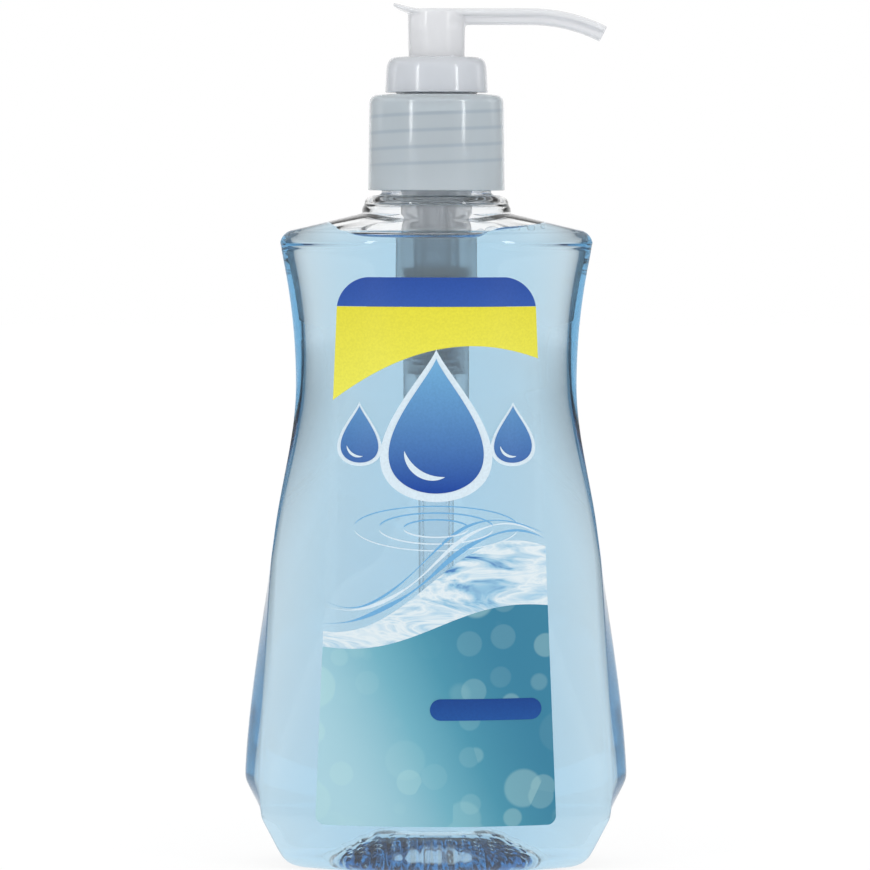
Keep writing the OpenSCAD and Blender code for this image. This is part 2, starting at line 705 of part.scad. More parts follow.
module pump_cylinder() {
    vent_r = 0.5;
    collar_z = ring_deck_z;
    outline = [[cup_bore_r, collar_z], [cup_r, collar_z], [cup_r, flange_z + flange_t],
        [flange_r, flange_z + flange_t], [flange_r, flange_z], [cup_r, flange_z],
        [cup_r, cup_z], [cylinder_r, cup_z - cup_slant], [cylinder_r, chamber_top_z],
        [chamber_out_r, chamber_top_z - 2], [chamber_out_r, ball_seat_z], [socket_r, tube_top_z],
        [socket_r, socket_z + 0.3], [socket_r - 0.3, socket_z], [tube_r + press_gap, socket_z],
        [tube_r + press_gap, tube_top_z], [seat_r, tube_top_z], [seat_r, ball_seat_z],
        [ball_hole_r, ball_seat_z], [ball_hole_r, chamber_z], [chamber_r, chamber_z],
        [chamber_r, chamber_top_z], [bore_r, chamber_top_z + 1], [bore_r, cup_z - cup_slant + 1],
        [cup_bore_r, cup_z - 0.2]];
    color(milky) difference() {
        turned(outline);
        for (side = [-1, 1]) translate([side * cylinder_r, 0, cup_z - 6]) rotate([0, 90, 0])
            cylinder(r = vent_r, h = 2 * cylinder_wall + 1, center = true, $fn = 24);
    }
}

module dip_tube() {
    color(milky) translate([0, 0, tube_z]) difference() {
        cylinder(r = tube_r, h = tube_top_z - tube_z);
        translate([0, 0, -1]) cylinder(r = tube_r - tube_wall, h = tube_top_z - tube_z + 2);
    }
}

// The cage over the ball: a ring with a cross that the spring stands on
module ball_cage() {
    bar = 1.3;
    open_r = coil_r - wire_d / 2 - 0.4;
    color(milky) translate([0, 0, chamber_z]) {
        difference() {
            cylinder(r = chamber_r - press_gap, h = cage_t);
            translate([0, 0, -1]) cylinder(r = open_r, h = cage_t + 2);
        }
        for (a = [0, 90]) rotate([0, 0, a]) translate([-open_r - 0.2, -bar / 2, 0])
            cube([2 * open_r + 0.4, bar, cage_t]);
    }
}

module inlet_ball() {
    color([0.75, 0.77, 0.8]) translate([0, 0, ball_z]) sphere(r = ball_r - ball_seat_gap);
}

// The spring's wire, carried round a helix whose end turns lie flat
function helix_z(k) =
    let (flat = 0.9 / spring_turns, s = min(max((k - flat) / (1 - 2 * flat), 0), 1),
        lift = wire_d * 1.02)
    spring_z + wire_d / 2 + s * (spring_top_z - spring_z - wire_d - 2 * lift * 0.9)
        + lift * 0.9 * (min(k / flat, 1) + max((k - 1 + flat) / flat, 0));

module return_spring() {
    n = spring_turns * turn_n;
    rings = [for (i = [0 : n])
        let (a = 360 * i / turn_n, z = helix_z(i / n))
        [for (j = [0 : wire_sides - 1])
            let (b = 360 * j / wire_sides, r = coil_r + wire_d / 2 * cos(b))
            [r * cos(a), r * sin(a), z + wire_d / 2 * sin(b)]]];
    end_a = 360 * n / turn_n;
    color([0.72, 0.74, 0.77]) stack([for (r = rings) reversed(r)],
        [coil_r, 0, helix_z(0)], [coil_r * cos(end_a), coil_r * sin(end_a), helix_z(1)]);
}

// The piston: a sleeve with a sealing lip at each end, open below round the stem
module piston() {
    lip_r = bore_r - run_gap;
    waist_r = bore_r - 0.5;
    open_r = stem_r + 0.8;
    grip_z = piston_z + piston_h - 2.7;
    top = piston_z + piston_h;
    lip_h = 1.4;
    color(frosted) turned([[open_r, piston_z], [lip_r - 0.1, piston_z], [lip_r, piston_z + 0.4],
        [lip_r, piston_z + lip_h], [waist_r, piston_z + lip_h + 0.5], [waist_r, top - lip_h - 0.5],
        [lip_r, top - lip_h], [lip_r, top - 0.4], [lip_r - 0.1, top], [waist_r - 0.2, top],
        [waist_r - 0.3, top - 0.8], [stem_r + run_gap + 0.7, top - 0.8], [stem_r + run_gap + 0.4, top],
        [stem_r + run_gap, top], [stem_r + run_gap, grip_z], [open_r, grip_z - 0.8]]);
}

// The plug in the stem's foot, whose flange closes the piston
module piston_seat() {
    flange = stem_r + 1.3;
    plug_r = stem_bore_r - press_gap;
    color(milky) turned([[0, seat_z], [flange - 0.6, seat_z], [flange, seat_z + 0.6],
        [flange, piston_z - press_gap], [stem_r - 0.4, piston_z - press_gap], [stem_r - 0.4, stem_z],
        [plug_r, stem_z],
        [plug_r, port_z - 0.2], [plug_r - 1.1, port_z], [plug_r - 1.1, port_z + port_h],
        [0, port_z + port_h + 1]]);
}

// The hollow stem, with cross ports above its foot and a collar that stops it at the top
module stem() {
    color(milky) difference() {
        union() {
            translate([0, 0, stem_z]) cylinder(r = stem_r, h = socket_top_z - stem_z);
            translate([0, 0, stop_z]) cylinder(r = stop_r, h = stop_t);
        }
        translate([0, 0, stem_z - 1]) cylinder(r = stem_bore_r, h = socket_top_z - stem_z + 2);
        for (a = [0, 90]) rotate([0, 0, a])
            translate([-stem_r - 1, -port_w / 2, port_z]) cube([2 * stem_r + 2, port_w, port_h]);
    }
}

// Places along the spout: straight from the axis, then round its bend
// Each is [x, z, angle below level, share of the length]
function spout_places(from) =
    concat([for (i = [0 : 3]) [from + (spout_run - from) * i / 3, spout_z, 0, run_share * i / 3]],
        [for (i = [1 : bend_n])
            let (a = spout_bend * i / bend_n)
            [spout_run + spout_bend_r * sin(a), spout_z - spout_bend_r * (1 - cos(a)), a,
                run_share + (1 - run_share) * i / bend_n]]);

// A section [across, up] set square to the spout at a place
function at_place(section, p) =
    [for (q = section) [p[0] + q[1] * sin(p[2]), q[0], p[1] + q[1] * cos(p[2])]];

// Half of the spout's section, from the top of the lip to the bottom of the channel's wall
function spout_section(w, wc) =
    let (t = spout_t / 2,
        half = [[0, t], [w * 0.5, t * 0.96], [w * 0.82, t * 0.84], [w, t * 0.56], [w, t * 0.34],
            [w * 0.88, t * 0.16], [wc + 0.25, t * 0.05], [wc, -t * 0.15], [wc, -t * 0.55],
            [wc * 0.75, -t * 0.84], [wc * 0.35, -t * 0.98]],
        other = [for (q = reversed(half)) if (q[0] > 0) [-q[0], q[1]]])
    concat(half, [[0, -t]], other);

module spout() {
    places = spout_places(2);
    rings = [for (p = places)
        let (w = (spout_root_w + (spout_tip_w - spout_root_w) * pow(p[3], 0.7)) / 2)
        reversed(at_place(spout_section(w, channel_out_w), p))];
    first = places[0];
    last = places[len(places) - 1];
    stack(rings, [first[0], 0, first[1]], [last[0], 0, last[1]]);
}

module spout_channel() {
    places = spout_places(0);
    last = places[len(places) - 1];
    reach = 1;
    beyond = [last[0] + reach * cos(last[2]), last[1] - reach * sin(last[2]), last[2], 1];
    circle12 = [for (i = [0 : 11]) [channel_r * sin(30 * i), channel_r * cos(30 * i) - channel_drop]];
    rings = [for (p = concat(places, [beyond])) reversed(at_place(circle12, p))];
    stack(rings, [places[0][0], 0, places[0][1] - channel_drop],
        [beyond[0] - channel_drop * sin(beyond[2]), 0, beyond[1] - channel_drop * cos(beyond[2])]);
}

// The thumb tab: a flat tongue that curves up behind the head
module thumb_tab() {
    tab_bend = 27;
    start = 2;
    bend_r = (tab_reach - start) / sin(tab_bend);
    tongue_n = 6;
    z0 = head_top_z - tab_t / 2;
    rings = [for (i = [0 : tongue_n])
        let (k = i / tongue_n, a = tab_bend * k,
            w = tab_half_w * sqrt(1 - pow(0.86 * k, 3)), t = tab_t / 2 * (1 - 0.45 * pow(k, 3)),
            x = -start - bend_r * sin(a), z = z0 + bend_r * (1 - cos(a)))
        [for (j = [0 : 15])
            let (b = 22.5 * j, u = sign(sin(b)) * pow(abs(sin(b)), 0.6) * w, v = cos(b) * t)
            [x + v * sin(a), u, z + v * cos(a)]]];
    end = rings[tongue_n];
    stack(rings, [-start, 0, z0], (end[0] + end[8]) / 2);
}

module pump_head() {
    outline = concat([[0, skirt_z], [skirt_r - 0.2, skirt_z], [skirt_r, skirt_z + 0.2],
        [skirt_r, ring_top_z], [skirt_top_r, head_top_z - 3.4]],
        arc(skirt_top_r - head_edge_r, head_top_z - head_edge_r, head_edge_r, 0, 90, 6),
        [[0, head_top_z]]);
    color(milky) difference() {
        union() {
            turned(outline);
            spout();
            thumb_tab();
        }
        translate([0, 0, skirt_z - 1]) cylinder(r = skirt_r - skirt_wall, h = socket_foot_z - skirt_z + 1);
        translate([0, 0, socket_foot_z - 0.5])
            cylinder(r = stem_r + press_gap, h = socket_top_z - socket_foot_z + 0.5);
        translate([0, 0, socket_top_z - 0.5]) cylinder(r = rise_bore_r, h = spout_z - socket_top_z + 1.2);
        spout_channel();
    }
}

bottle();
soap();
front_label();
label_blue_band();
label_yellow_band();
label_water_drop();
label_pale_wave();
label_teal_field();
label_blue_pill();
back_label();
back_blue_band();
closure();
neck_gasket();
lock_ring();
pump_cylinder();
dip_tube();
ball_cage();
inlet_ball();
return_spring();
piston();
piston_seat();
stem();
pump_head();
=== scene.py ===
"""A clear bottle of light-blue liquid soap with a frosted screw closure and a lock-down pump, dressed for
rendering.

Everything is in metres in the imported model's frame: +Z up, the front label towards -Y, the spout towards +X.
The numbers below are in millimetres, and MM turns them into metres when a mesh is made.
"""

import math

import bpy
import numpy as np
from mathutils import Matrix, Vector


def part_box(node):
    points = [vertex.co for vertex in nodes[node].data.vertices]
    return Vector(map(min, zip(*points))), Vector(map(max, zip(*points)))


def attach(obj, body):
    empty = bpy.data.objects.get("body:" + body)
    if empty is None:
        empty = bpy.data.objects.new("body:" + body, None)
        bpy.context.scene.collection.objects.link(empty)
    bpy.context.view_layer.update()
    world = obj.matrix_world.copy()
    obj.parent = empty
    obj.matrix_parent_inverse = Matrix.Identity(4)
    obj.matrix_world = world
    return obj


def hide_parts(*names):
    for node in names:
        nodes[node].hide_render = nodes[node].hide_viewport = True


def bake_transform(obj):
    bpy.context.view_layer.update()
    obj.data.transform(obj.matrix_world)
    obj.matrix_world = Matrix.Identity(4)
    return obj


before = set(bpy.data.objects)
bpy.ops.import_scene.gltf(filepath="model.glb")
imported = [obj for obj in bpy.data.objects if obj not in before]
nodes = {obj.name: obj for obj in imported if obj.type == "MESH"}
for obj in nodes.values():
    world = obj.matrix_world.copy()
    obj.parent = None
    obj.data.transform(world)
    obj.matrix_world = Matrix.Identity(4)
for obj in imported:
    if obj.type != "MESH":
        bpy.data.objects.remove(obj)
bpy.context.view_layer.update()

MM = 0.001


def low_mm(node):
    """Lowest corner of a CAD node, in millimetres."""
    return np.array(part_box(node)[0]) / MM


def high_mm(node):
    """Highest corner of a CAD node, in millimetres."""
    return np.array(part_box(node)[1]) / MM


# Meshes

def outward(points, faces):
    """The faces of a closed solid, turned round together if they face inwards."""
    p = np.asarray(points, float)
    f = np.array([face if len(face) == 4 else (*face, face[2]) for face in faces])
    a, b, c, d = (p[f[:, k]] for k in range(4))
    volume = np.einsum("ij,ij->", a, np.cross(b, c)) + np.einsum("ij,ij->", a, np.cross(c, d))
    return faces if volume > 0 else [face[::-1] for face in faces]


def mesh_object(name, points, faces, sharp=None):
    """A smooth-shaded object from points in millimetres, with edges over the angle sharp kept crisp."""
    mesh = bpy.data.meshes.new(name)
    mesh.from_pydata((np.asarray(points, float) * MM).tolist(), [], faces)
    mesh.polygons.foreach_set("use_smooth", np.ones(len(mesh.polygons), bool))
    if sharp is not None:
        mesh.set_sharp_from_angle(angle=math.radians(sharp))
    piece = bpy.data.objects.new(name, mesh)
    bpy.context.scene.collection.objects.link(piece)
    return piece


def band_faces(rows, columns, wrap_rows=False):
    """Quads between rings that close on themselves, row i to row i + 1, facing outwards where the rings run
    anticlockwise seen from above and the rows go up."""
    i = np.arange(rows if wrap_rows else rows - 1)[:, None]
    j = np.arange(columns)[None, :]
    a, b = i * columns + j, i * columns + (j + 1) % columns
    up = ((i + 1) % rows) * columns
    c, d = up + (j + 1) % columns, up + j
    return np.stack(np.broadcast_arrays(a, b, c, d), -1).reshape(-1, 4)


def capped_faces(rows, columns):
    """The faces of rings whose first and last are closed by fans to the two points that follow the rings."""
    j = np.arange(columns)
    k = (j + 1) % columns
    base = np.full(columns, rows * columns)
    low_fan = np.stack([base, k, j], -1)
    high_fan = np.stack([base + 1, (rows - 1) * columns + j, (rows - 1) * columns + k], -1)
    return band_faces(rows, columns).tolist() + low_fan.tolist() + high_fan.tolist()


def stack(name, rings, low, high, sharp=None):
    """A closed solid from rings (rows, columns, 3) with a fan to the point low below and high above."""
    rows, columns, _ = rings.shape
    points = np.vstack([rings.reshape(-1, 3), [low], [high]])
    return mesh_object(name, points, outward(points, capped_faces(rows, columns)), sharp)


def around(outline, columns):
    """Rings of an outline of (radius, height) points turned about the Z axis."""
    r, z = np.asarray(outline, float).T
    a = np.arange(columns) * 2 * np.pi / columns - np.pi / 2
    x, y = r[:, None] * np.cos(a), r[:, None] * np.sin(a)
    return np.stack([x, y, np.broadcast_to(z[:, None], x.shape)], -1)


def arc(radius, height, size, end, count=9, size_z=None):
    """Points (radius, height) on an arc about a centre, from level outwards up to the angle end."""
    a = np.linspace(0, end, count)
    return np.stack([radius + size * np.cos(a), height + (size_z or size) * np.sin(a)], -1)


def turned(name, outline, columns=192, sharp=35):
    """A ring-shaped solid: a closed outline, anticlockwise in (radius, height), turned about the Z axis."""
    points = around(outline, columns).reshape(-1, 3)
    faces = band_faces(len(outline), columns, True).tolist()
    return mesh_object(name, points, outward(points, faces), sharp)


def eased_corners(outline, sizes, steps=4):
    """The closed outline with each corner replaced by a parabola that starts and ends sizes away from it."""
    outline = np.asarray(outline, float)
    sizes = np.broadcast_to(np.asarray(sizes, float), len(outline))
    s = np.linspace(0, 1, steps + 1)[:, None]
    made = []
    for i, p in enumerate(outline):
        a, b = outline[i - 1] - p, outline[(i + 1) % len(outline)] - p
        if sizes[i] <= 0:
            made.append(p[None])
            continue
        p0 = p + a * min(sizes[i] / np.hypot(*a), 0.45)
        p2 = p + b * min(sizes[i] / np.hypot(*b), 0.45)
        made.append((1 - s) ** 2 * p0 + 2 * s * (1 - s) * p + s ** 2 * p2)
    return np.vstack(made)


def ride(piece, body, slot, material, *replaced):
    """Sets a piece on its body with its material and hides the CAD nodes that it stands for; slot is not used.
    """
    piece.data.materials.clear()
    for one in material if isinstance(material, (list, tuple)) else [material]:
        piece.data.materials.append(one)
    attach(piece, body)
    if replaced:
        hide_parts(*replaced)
    return piece


# The bottle's body, by the same formula as its solid and up to 0.2 mm slimmer at thigh, waist and shoulder

HIP = (22.0, 38.75, -0.07)
THIGH = (68.7, 32.6, -0.1344)
WAIST = (97.5, 28.42, 0.0)
SHOULDER = (126.1, 31.7, 0.235)
SHOULDER_R, SHOULDER_RY = 3.0, 2.2
SHOULDER_TILT = math.radians(13.6)
FOOT_W, CHAMFER, STAND_W, FOOT_RISE = 29.9, math.tan(math.radians(28.1)), 26.2, 3.2
WALL, FLOOR = 0.7, 0.9
PUSHUP = 6.5
EDGE_R = 1.5
FACET_TOP = 26  # up to here the rings lie closer, for the foot's chamfer
SIDE_SOFTNESS = 1.2
BASE_D, TOP_D = 39.4 / 2, 35.0 / 2
BASE_CROWN, TOP_CROWN = 9.0, 14.4
ROOT_R, ROOT_WALL = 15.2, 1.1
SLOPE_W = SHOULDER[1] - SHOULDER_R * (1 - math.cos(math.pi / 2 - SHOULDER_TILT))
SLOPE_Z = SHOULDER[0] + SHOULDER_R * math.sin(math.pi / 2 - SHOULDER_TILT)
ROOT_Z = SLOPE_Z + (SLOPE_W - ROOT_R) * math.tan(SHOULDER_TILT)
NECK_Z = ROOT_Z + 3.7
NECK_TOP = high_mm("bottle")[2]
NECK_R, NECK_BORE = 11.1, 9.4
BULGE_R, MOUTH_RISE = 1.9, 0.4
THREAD_RISE, BEAD_RISE = 0.95, 0.45
PANEL_N, EDGE_N, SIDE_N = 26, 10, 9


def rise(z, a, b):
    """Cubic from station a to station b, each (height, half-width, slope)."""
    h = b[0] - a[0]
    s = (z - a[0]) / h
    return ((2 * s ** 3 - 3 * s ** 2 + 1) * a[1] + (s ** 3 - 2 * s ** 2 + s) * h * a[2]
            + (3 * s ** 2 - 2 * s ** 3) * b[1] + (s ** 3 - s ** 2) * h * b[2])


def soft_min(a, b, width):
    """The smaller of a and b, with the corner between them rounded over width."""
    return (a + b - np.sqrt((a - b) ** 2 + width ** 2)) / 2


def body_w(z):
    """Half-width of the body: chamfer, hip, thigh, waist and shoulder."""
    z = np.asarray(z, float)
    sides = np.where(z < HIP[0], HIP[1] + (z - HIP[0]) * HIP[2],
                     np.where(z < THIGH[0], rise(z, HIP, THIGH),
                              np.where(z < WAIST[0], rise(z, THIGH, WAIST),
                                       rise(np.minimum(z, SHOULDER[0]), WAIST, SHOULDER))))
    return soft_min(FOOT_W + z * CHAMFER, sides, 0.6)


def panel_w(z):
    """Half-width between the panel edges; the sides bulge out past it low down."""
    return soft_min(body_w(z), 35.7 - 0.035 * np.asarray(z, float), 0.25) + 0.06


def depth(z):
    """Half-depth of the body in its middle."""
    return BASE_D + (TOP_D - BASE_D) * np.minimum(np.asarray(z, float) / SHOULDER[0], 1)


def crown(z):
    """How far the front and back fall away from their middle to their edges."""
    return BASE_CROWN + (TOP_CROWN - BASE_CROWN) * np.clip(np.asarray(z, float) / SHOULDER[0], 0, 1)


def quarter(w, p, d, c, r):
    """A quarter of the section from the middle of the front to the middle of the side, for arrays of levels.

    It is a rounded rectangle p by d - c with corner radius r. Then x grows by (w / p - 1)(1 - |y / e|^1.2),
    which brings the sides out to a soft ridge, and y by c / e (1 - (x / p)^2), which crowns the front."""
    w, p, d, c, r = (np.atleast_1d(np.asarray(v, float))[:, None] for v in np.broadcast_arrays(w, p, d, c, r))
    e = np.maximum(d - c, 2.2)
    k = d - e
    i = np.arange(PANEL_N)[None] / PANEL_N
    a = np.arange(EDGE_N)[None] / EDGE_N * np.pi / 2
    j = np.arange(SIDE_N + 1)[None] / SIDE_N
    x = np.hstack([(p - r) * i, p - r + r * np.sin(a), p + 0 * j])
    y = np.hstack([-e + 0 * i, -e + r - r * np.cos(a), (r - e) * (1 - j)])
    out = (w / p - 1) * (1 - np.abs(y / e) ** SIDE_SOFTNESS)
    return np.stack([x * (1 + out), y * (1 + k / e * (1 - (x / p) ** 2))], -1)


def quarter_circle(r):
    """A quarter of a circle with as many points, for an array of radii."""
    a = np.linspace(0, np.pi / 2, PANEL_N + EDGE_N + SIDE_N + 1)[None]
    r = np.atleast_1d(np.asarray(r, float))[:, None]
    return np.stack([r * np.sin(a), -r * np.cos(a)], -1)


def rings_at(quarters, z):
    """Whole rings (rows, columns, 3) from quarters (rows, k, 2) at heights z (rows,)."""
    q = quarters
    forward, back = q[:, :-1], q[:, :0:-1]
    xy = np.concatenate([forward, back * (1, -1), forward * (-1, -1), back * (-1, 1)], 1)
    z = np.broadcast_to(np.asarray(z, float)[:, None, None], xy.shape[:2] + (1,))
    return np.concatenate([xy, z], -1)


def foot_rings(t, count):
    """The rounded bottom edge, from the outline that stands on the floor up to the sides, set in by t."""
    s = np.linspace(0, 1, count)
    w = (1 - s) ** 2 * STAND_W + 2 * s * (1 - s) * FOOT_W + s ** 2 * body_w(FOOT_RISE)
    z = FOOT_RISE * s ** 2
    pull = FOOT_RISE - np.sqrt(FOOT_RISE ** 2 - (FOOT_RISE - z) ** 2)
    q = quarter(w - t, w - t, depth(z) - pull - t, crown(z) - 0.3 * t, EDGE_R - t / 2)
    return rings_at(q, z + t / WALL * FLOOR * (1 - s))


def side_rings(t, z):
    """The sides at heights z, set in by t."""
    q = quarter(body_w(z) - t, panel_w(z) - t, depth(z) - t, crown(z) - 0.3 * t, EDGE_R - t / 2)
    return rings_at(q, z)


def turn_quarter(a, t):
    """The section where the shoulder's rounding has turned by the angle a."""
    w = SHOULDER[1] - SHOULDER_R + (SHOULDER_R - t) * np.cos(a)
    d = depth(SHOULDER[0]) - t - SHOULDER_RY * (1 - np.cos(a))
    return quarter(w, w, d, crown(SHOULDER[0]) - 0.3 * t, EDGE_R - t / 2)


def shoulder_rings(t, turn_n, slope_n):
    """The shoulder's rounding and its slope, which goes over from the body's section to the neck's circle."""
    a = (np.pi / 2 - SHOULDER_TILT) * np.arange(1, turn_n + 1) / turn_n
    turning = rings_at(turn_quarter(a, t), SHOULDER[0] + (SHOULDER_R - t) * np.sin(a))
    k = ROOT_WALL if t > 0 else 0
    s = np.arange(1, slope_n + 1) / slope_n
    q = turn_quarter(a[-1:], t) * (1 - s[:, None, None]) + quarter_circle(ROOT_R - k) * s[:, None, None]
    z0 = SHOULDER[0] + (SHOULDER_R - t) * np.sin(a[-1])
    return np.concatenate([turning, rings_at(q, z0 + (ROOT_Z - k - z0) * s)])


def base_rings(t, count):
    """The raised middle of the base, from its own middle out to the standing outline: a wide tent with a flat
    roof, whose slopes carry low ribs across them."""
    rim = foot_rings(t, 2)[0]
    s = np.linspace(0.16, 0.9, count)[:, None]
    up = np.clip((0.9 - s) / 0.5, 0, 1)
    z = t / WALL * FLOOR + PUSHUP * (1 - (1 - up) ** 1.15)
    x, y = rim[None, :, 0] * s, rim[None, :, 1] * s
    ribs = 0.16 * np.sin(x * 2.1) * np.clip(up * 4, 0, 1) * np.clip((1 - up) * 5, 0, 1)
    return np.stack([x, y, z + ribs], -1)


def body_rings(t, foot_n, facet_n, side_n, turn_n, slope_n):
    """The body from its base up to the neck's foot, set in by t, with so many rings in each of its parts."""
    facet_z = np.linspace(FOOT_RISE, FACET_TOP, facet_n)[1:]
    sides_z = np.linspace(FACET_TOP, SHOULDER[0], side_n)[1:]
    return np.concatenate([base_rings(t, 14), foot_rings(t, foot_n), side_rings(t, facet_z),
                           side_rings(t, sides_z), shoulder_rings(t, turn_n, slope_n)])


def neck_rings():
    """The neck over the bulge at its foot and round the mouth, with the thread as a helical ridge outside.

    The ridge stands 0.95 mm out of the neck where the height lies near pitch * (turn + angle / 360), fades in
    and out over its last twelve degrees, and runs for one and three quarter turns."""
    pitch, first, turns, thick = 3.3, NECK_Z + 5.6, 1.75, 1.05
    in_r = ROOT_R - ROOT_WALL
    bulge = arc(ROOT_R - 2.45, NECK_Z - BULGE_R, BULGE_R, np.pi / 2)
    up = np.vstack([[[ROOT_R - 0.15, ROOT_Z + 1]], bulge,
                    [[NECK_R + 0.8, NECK_Z + 0.05], [NECK_R + 0.25, NECK_Z + 0.2],
                     [NECK_R + 0.05, NECK_Z + 0.5]]])
    straight = np.arange(NECK_Z + 0.9, NECK_TOP - 0.5, 0.16)
    up = np.vstack([up, np.stack([np.full(len(straight), NECK_R), straight], -1)])
    mouth = arc((NECK_R + NECK_BORE) / 2, NECK_TOP - MOUTH_RISE, (NECK_R - NECK_BORE) / 2, np.pi,
                size_z=MOUTH_RISE)
    down = [[NECK_BORE, NECK_TOP - 4], [NECK_BORE, NECK_Z + 6], [NECK_BORE, NECK_Z - 0.4],
            [NECK_BORE + 0.15, NECK_Z - 0.8], [NECK_BORE + 0.6, NECK_Z - 1.1], [in_r - 2.2, NECK_Z - 1.35],
            [in_r - 0.9, NECK_Z - 1.8], [in_r - 0.3, NECK_Z - 2.6]]
    profile = np.vstack([up, mouth, down])
    rings = rings_at(quarter_circle(profile[:, 0]), profile[:, 1])
    outside = (np.arange(len(profile)) < len(up))[:, None]
    x, y, z = rings[..., 0], rings[..., 1], rings[..., 2]
    angle = np.mod(np.arctan2(y, x) - 1.2, 2 * np.pi) / (2 * np.pi)
    ridge = np.zeros_like(z)
    bead = BEAD_RISE * np.exp(-((z - NECK_Z - 2.6) / 0.55) ** 2)
    for lap in range(3):
        along = lap + angle
        ends = np.clip(along / 0.03, 0, 1) * np.clip((turns - along) / 0.03, 0, 1)
        off = np.abs(z - first - pitch * along) / thick
        ridge = np.maximum(ridge, ends * np.clip(1.35 - 1.35 * off ** 1.6, 0, 1))
    grow = 1 + np.where(outside & (z > NECK_Z + 0.9), (THREAD_RISE * ridge + bead) / NECK_R, 0)
    rings[..., 0] *= grow
    rings[..., 1] *= grow
    return rings


def make_bottle():
    """The blown bottle as one closed skin: base, sides, shoulder and neck outside, then the same inside."""
    outside, inside = body_rings(0, 12, 40, 74, 10, 26), body_rings(WALL, 10, 26, 52, 8, 20)
    rings = np.concatenate([outside, neck_rings(), inside[::-1]])
    return stack("bottle_skin", rings, [0, 0, PUSHUP], [0, 0, PUSHUP + FLOOR])


# The liquid

FILL_Z = SHOULDER[0] + 2.9
MENISCUS, END_RISE, HOLLOW = 0.75, 0.25, 1.5
HOLLOW_LEFT, HOLLOW_RIGHT, HOLLOW_BACK = -19.5, 10.5, -7
SOAP_IN = WALL - 0.03


def liquid_level(x, y):
    """Height of the liquid's surface: level, a little higher at both ends, and pressed down in front of the
    neck by the large bubble that sits there."""
    sides = (1 + np.exp(-(x - HOLLOW_LEFT) / 0.8)) * (1 + np.exp((x - HOLLOW_RIGHT) / 0.8))
    bubble = HOLLOW / (sides * (1 + np.exp((y - HOLLOW_BACK) / 1.5)))
    return FILL_Z + END_RISE * np.tanh((np.abs(x) - 20) / 5) - bubble


def make_liquid():
    """The liquid: it wets the inner wall, lies 0.03 mm into it, and climbs it in a small meniscus."""
    body = body_rings(SOAP_IN, 10, 26, 52, 12, 40)
    # the wall above the liquid's edge is folded down onto it, so the last ring follows the liquid's level
    edge = liquid_level(body[..., 0], body[..., 1]) + MENISCUS
    rows, columns, _ = body.shape
    above = body[..., 2] > edge
    first = np.argmax(above, 0)
    j = np.arange(columns)
    lower, upper = body[first - 1, j], body[first, j]
    share = ((edge[first, j] - lower[:, 2]) / (upper[:, 2] - lower[:, 2]))[:, None]
    shore = lower * (1 - share) + upper * share
    start = int(first.min())
    kept = body[:start]
    # rows between the last whole ring and the shore
    climb = np.linspace(0, 1, 14)[1:, None, None]
    row_at = (start - 1) + climb * (first[None, :, None] - 1 + share[None] - (start - 1))
    low_row = np.clip(np.floor(row_at[..., 0]).astype(int), 0, rows - 2)
    part = (row_at[..., 0] - low_row)[..., None]
    flank = body[low_row, j[None]] * (1 - part) + body[low_row + 1, j[None]] * part
    # the surface: in from the shore with a meniscus that dies away within 1.2 mm
    inward = np.concatenate([[0.01, 0.022, 0.04, 0.065, 0.1, 0.15], np.linspace(0.2, 0.97, 22)])[:, None]
    x, y = shore[None, :, 0] * (1 - inward), shore[None, :, 1] * (1 - inward)
    away = np.hypot(x - shore[None, :, 0], y - shore[None, :, 1])
    climb_in = MENISCUS * np.exp(-away / 0.55) + 0.55 * np.exp(-np.abs(np.hypot(x, y) - 7.2) / 0.5)
    top = np.stack([x, y, liquid_level(x, y) + climb_in], -1)
    return stack("soap_liquid", np.concatenate([kept, flank, top]), [0, 0, PUSHUP + FLOOR * SOAP_IN / WALL],
                 [0, 0, float(liquid_level(0.0, 0.0))])


# centre and radius of the air bubbles that float at the liquid's surface
BUBBLES = ((11.4, -5.2, 129.2, 1.9), (15.2, -7.2, 128.9, 1.2), (18.6, -6.2, 128.8, 0.9),
           (8.9, -9.6, 128.9, 0.9), (21.0, -4.4, 128.7, 0.5), (-19.0, -5.0, 128.8, 0.7),
           (-16.6, -7.4, 128.8, 0.6), (13.2, -9.3, 128.8, 0.6))
SKIN = 0.05


def make_bubbles():
    """Bubbles as thin skins: each is a sphere with a slightly smaller one inside it, facing inwards."""
    points, faces = [], []
    v = np.linspace(-np.pi / 2, np.pi / 2, 18)[1:-1]
    ball = capped_faces(len(v), 28)
    for x, y, z, r in BUBBLES:
        for radius, turn in ((r, 1), (r - SKIN, -1)):
            ring = around(np.stack([radius * np.cos(v), radius * np.sin(v)], -1), 28).reshape(-1, 3)
            start = sum(map(len, points))
            points.append(np.vstack([ring, [[0, 0, -radius], [0, 0, radius]]]) + (x, y, z))
            faces += [[start + i for i in face][::turn] for face in ball]
    return mesh_object("surface_bubbles", np.vstack(points), faces)


# Print

LABEL_Z = low_mm("front_label")[2]
LABEL_TOP = high_mm("front_label")[2]
BAND_Z = low_mm("label_blue_band")[2]
FILM_GAP, FILM_T, INK_T = 0.03, 0.08, 0.05
LABEL_FOOT_W, LABEL_TOP_W = 48.6 / 2, 39.6 / 2
LABEL_TOP_R, LABEL_FOOT_R = 6.5, 2.0
BACK_INSET, BACK_DROP = 5.0, 6.0


def front_y(x, z):
    """The front panel's outer surface."""
    e = np.maximum(depth(z) - crown(z), 2.2)
    return -(e + (depth(z) - e) * (1 - (x / panel_w(z)) ** 2))


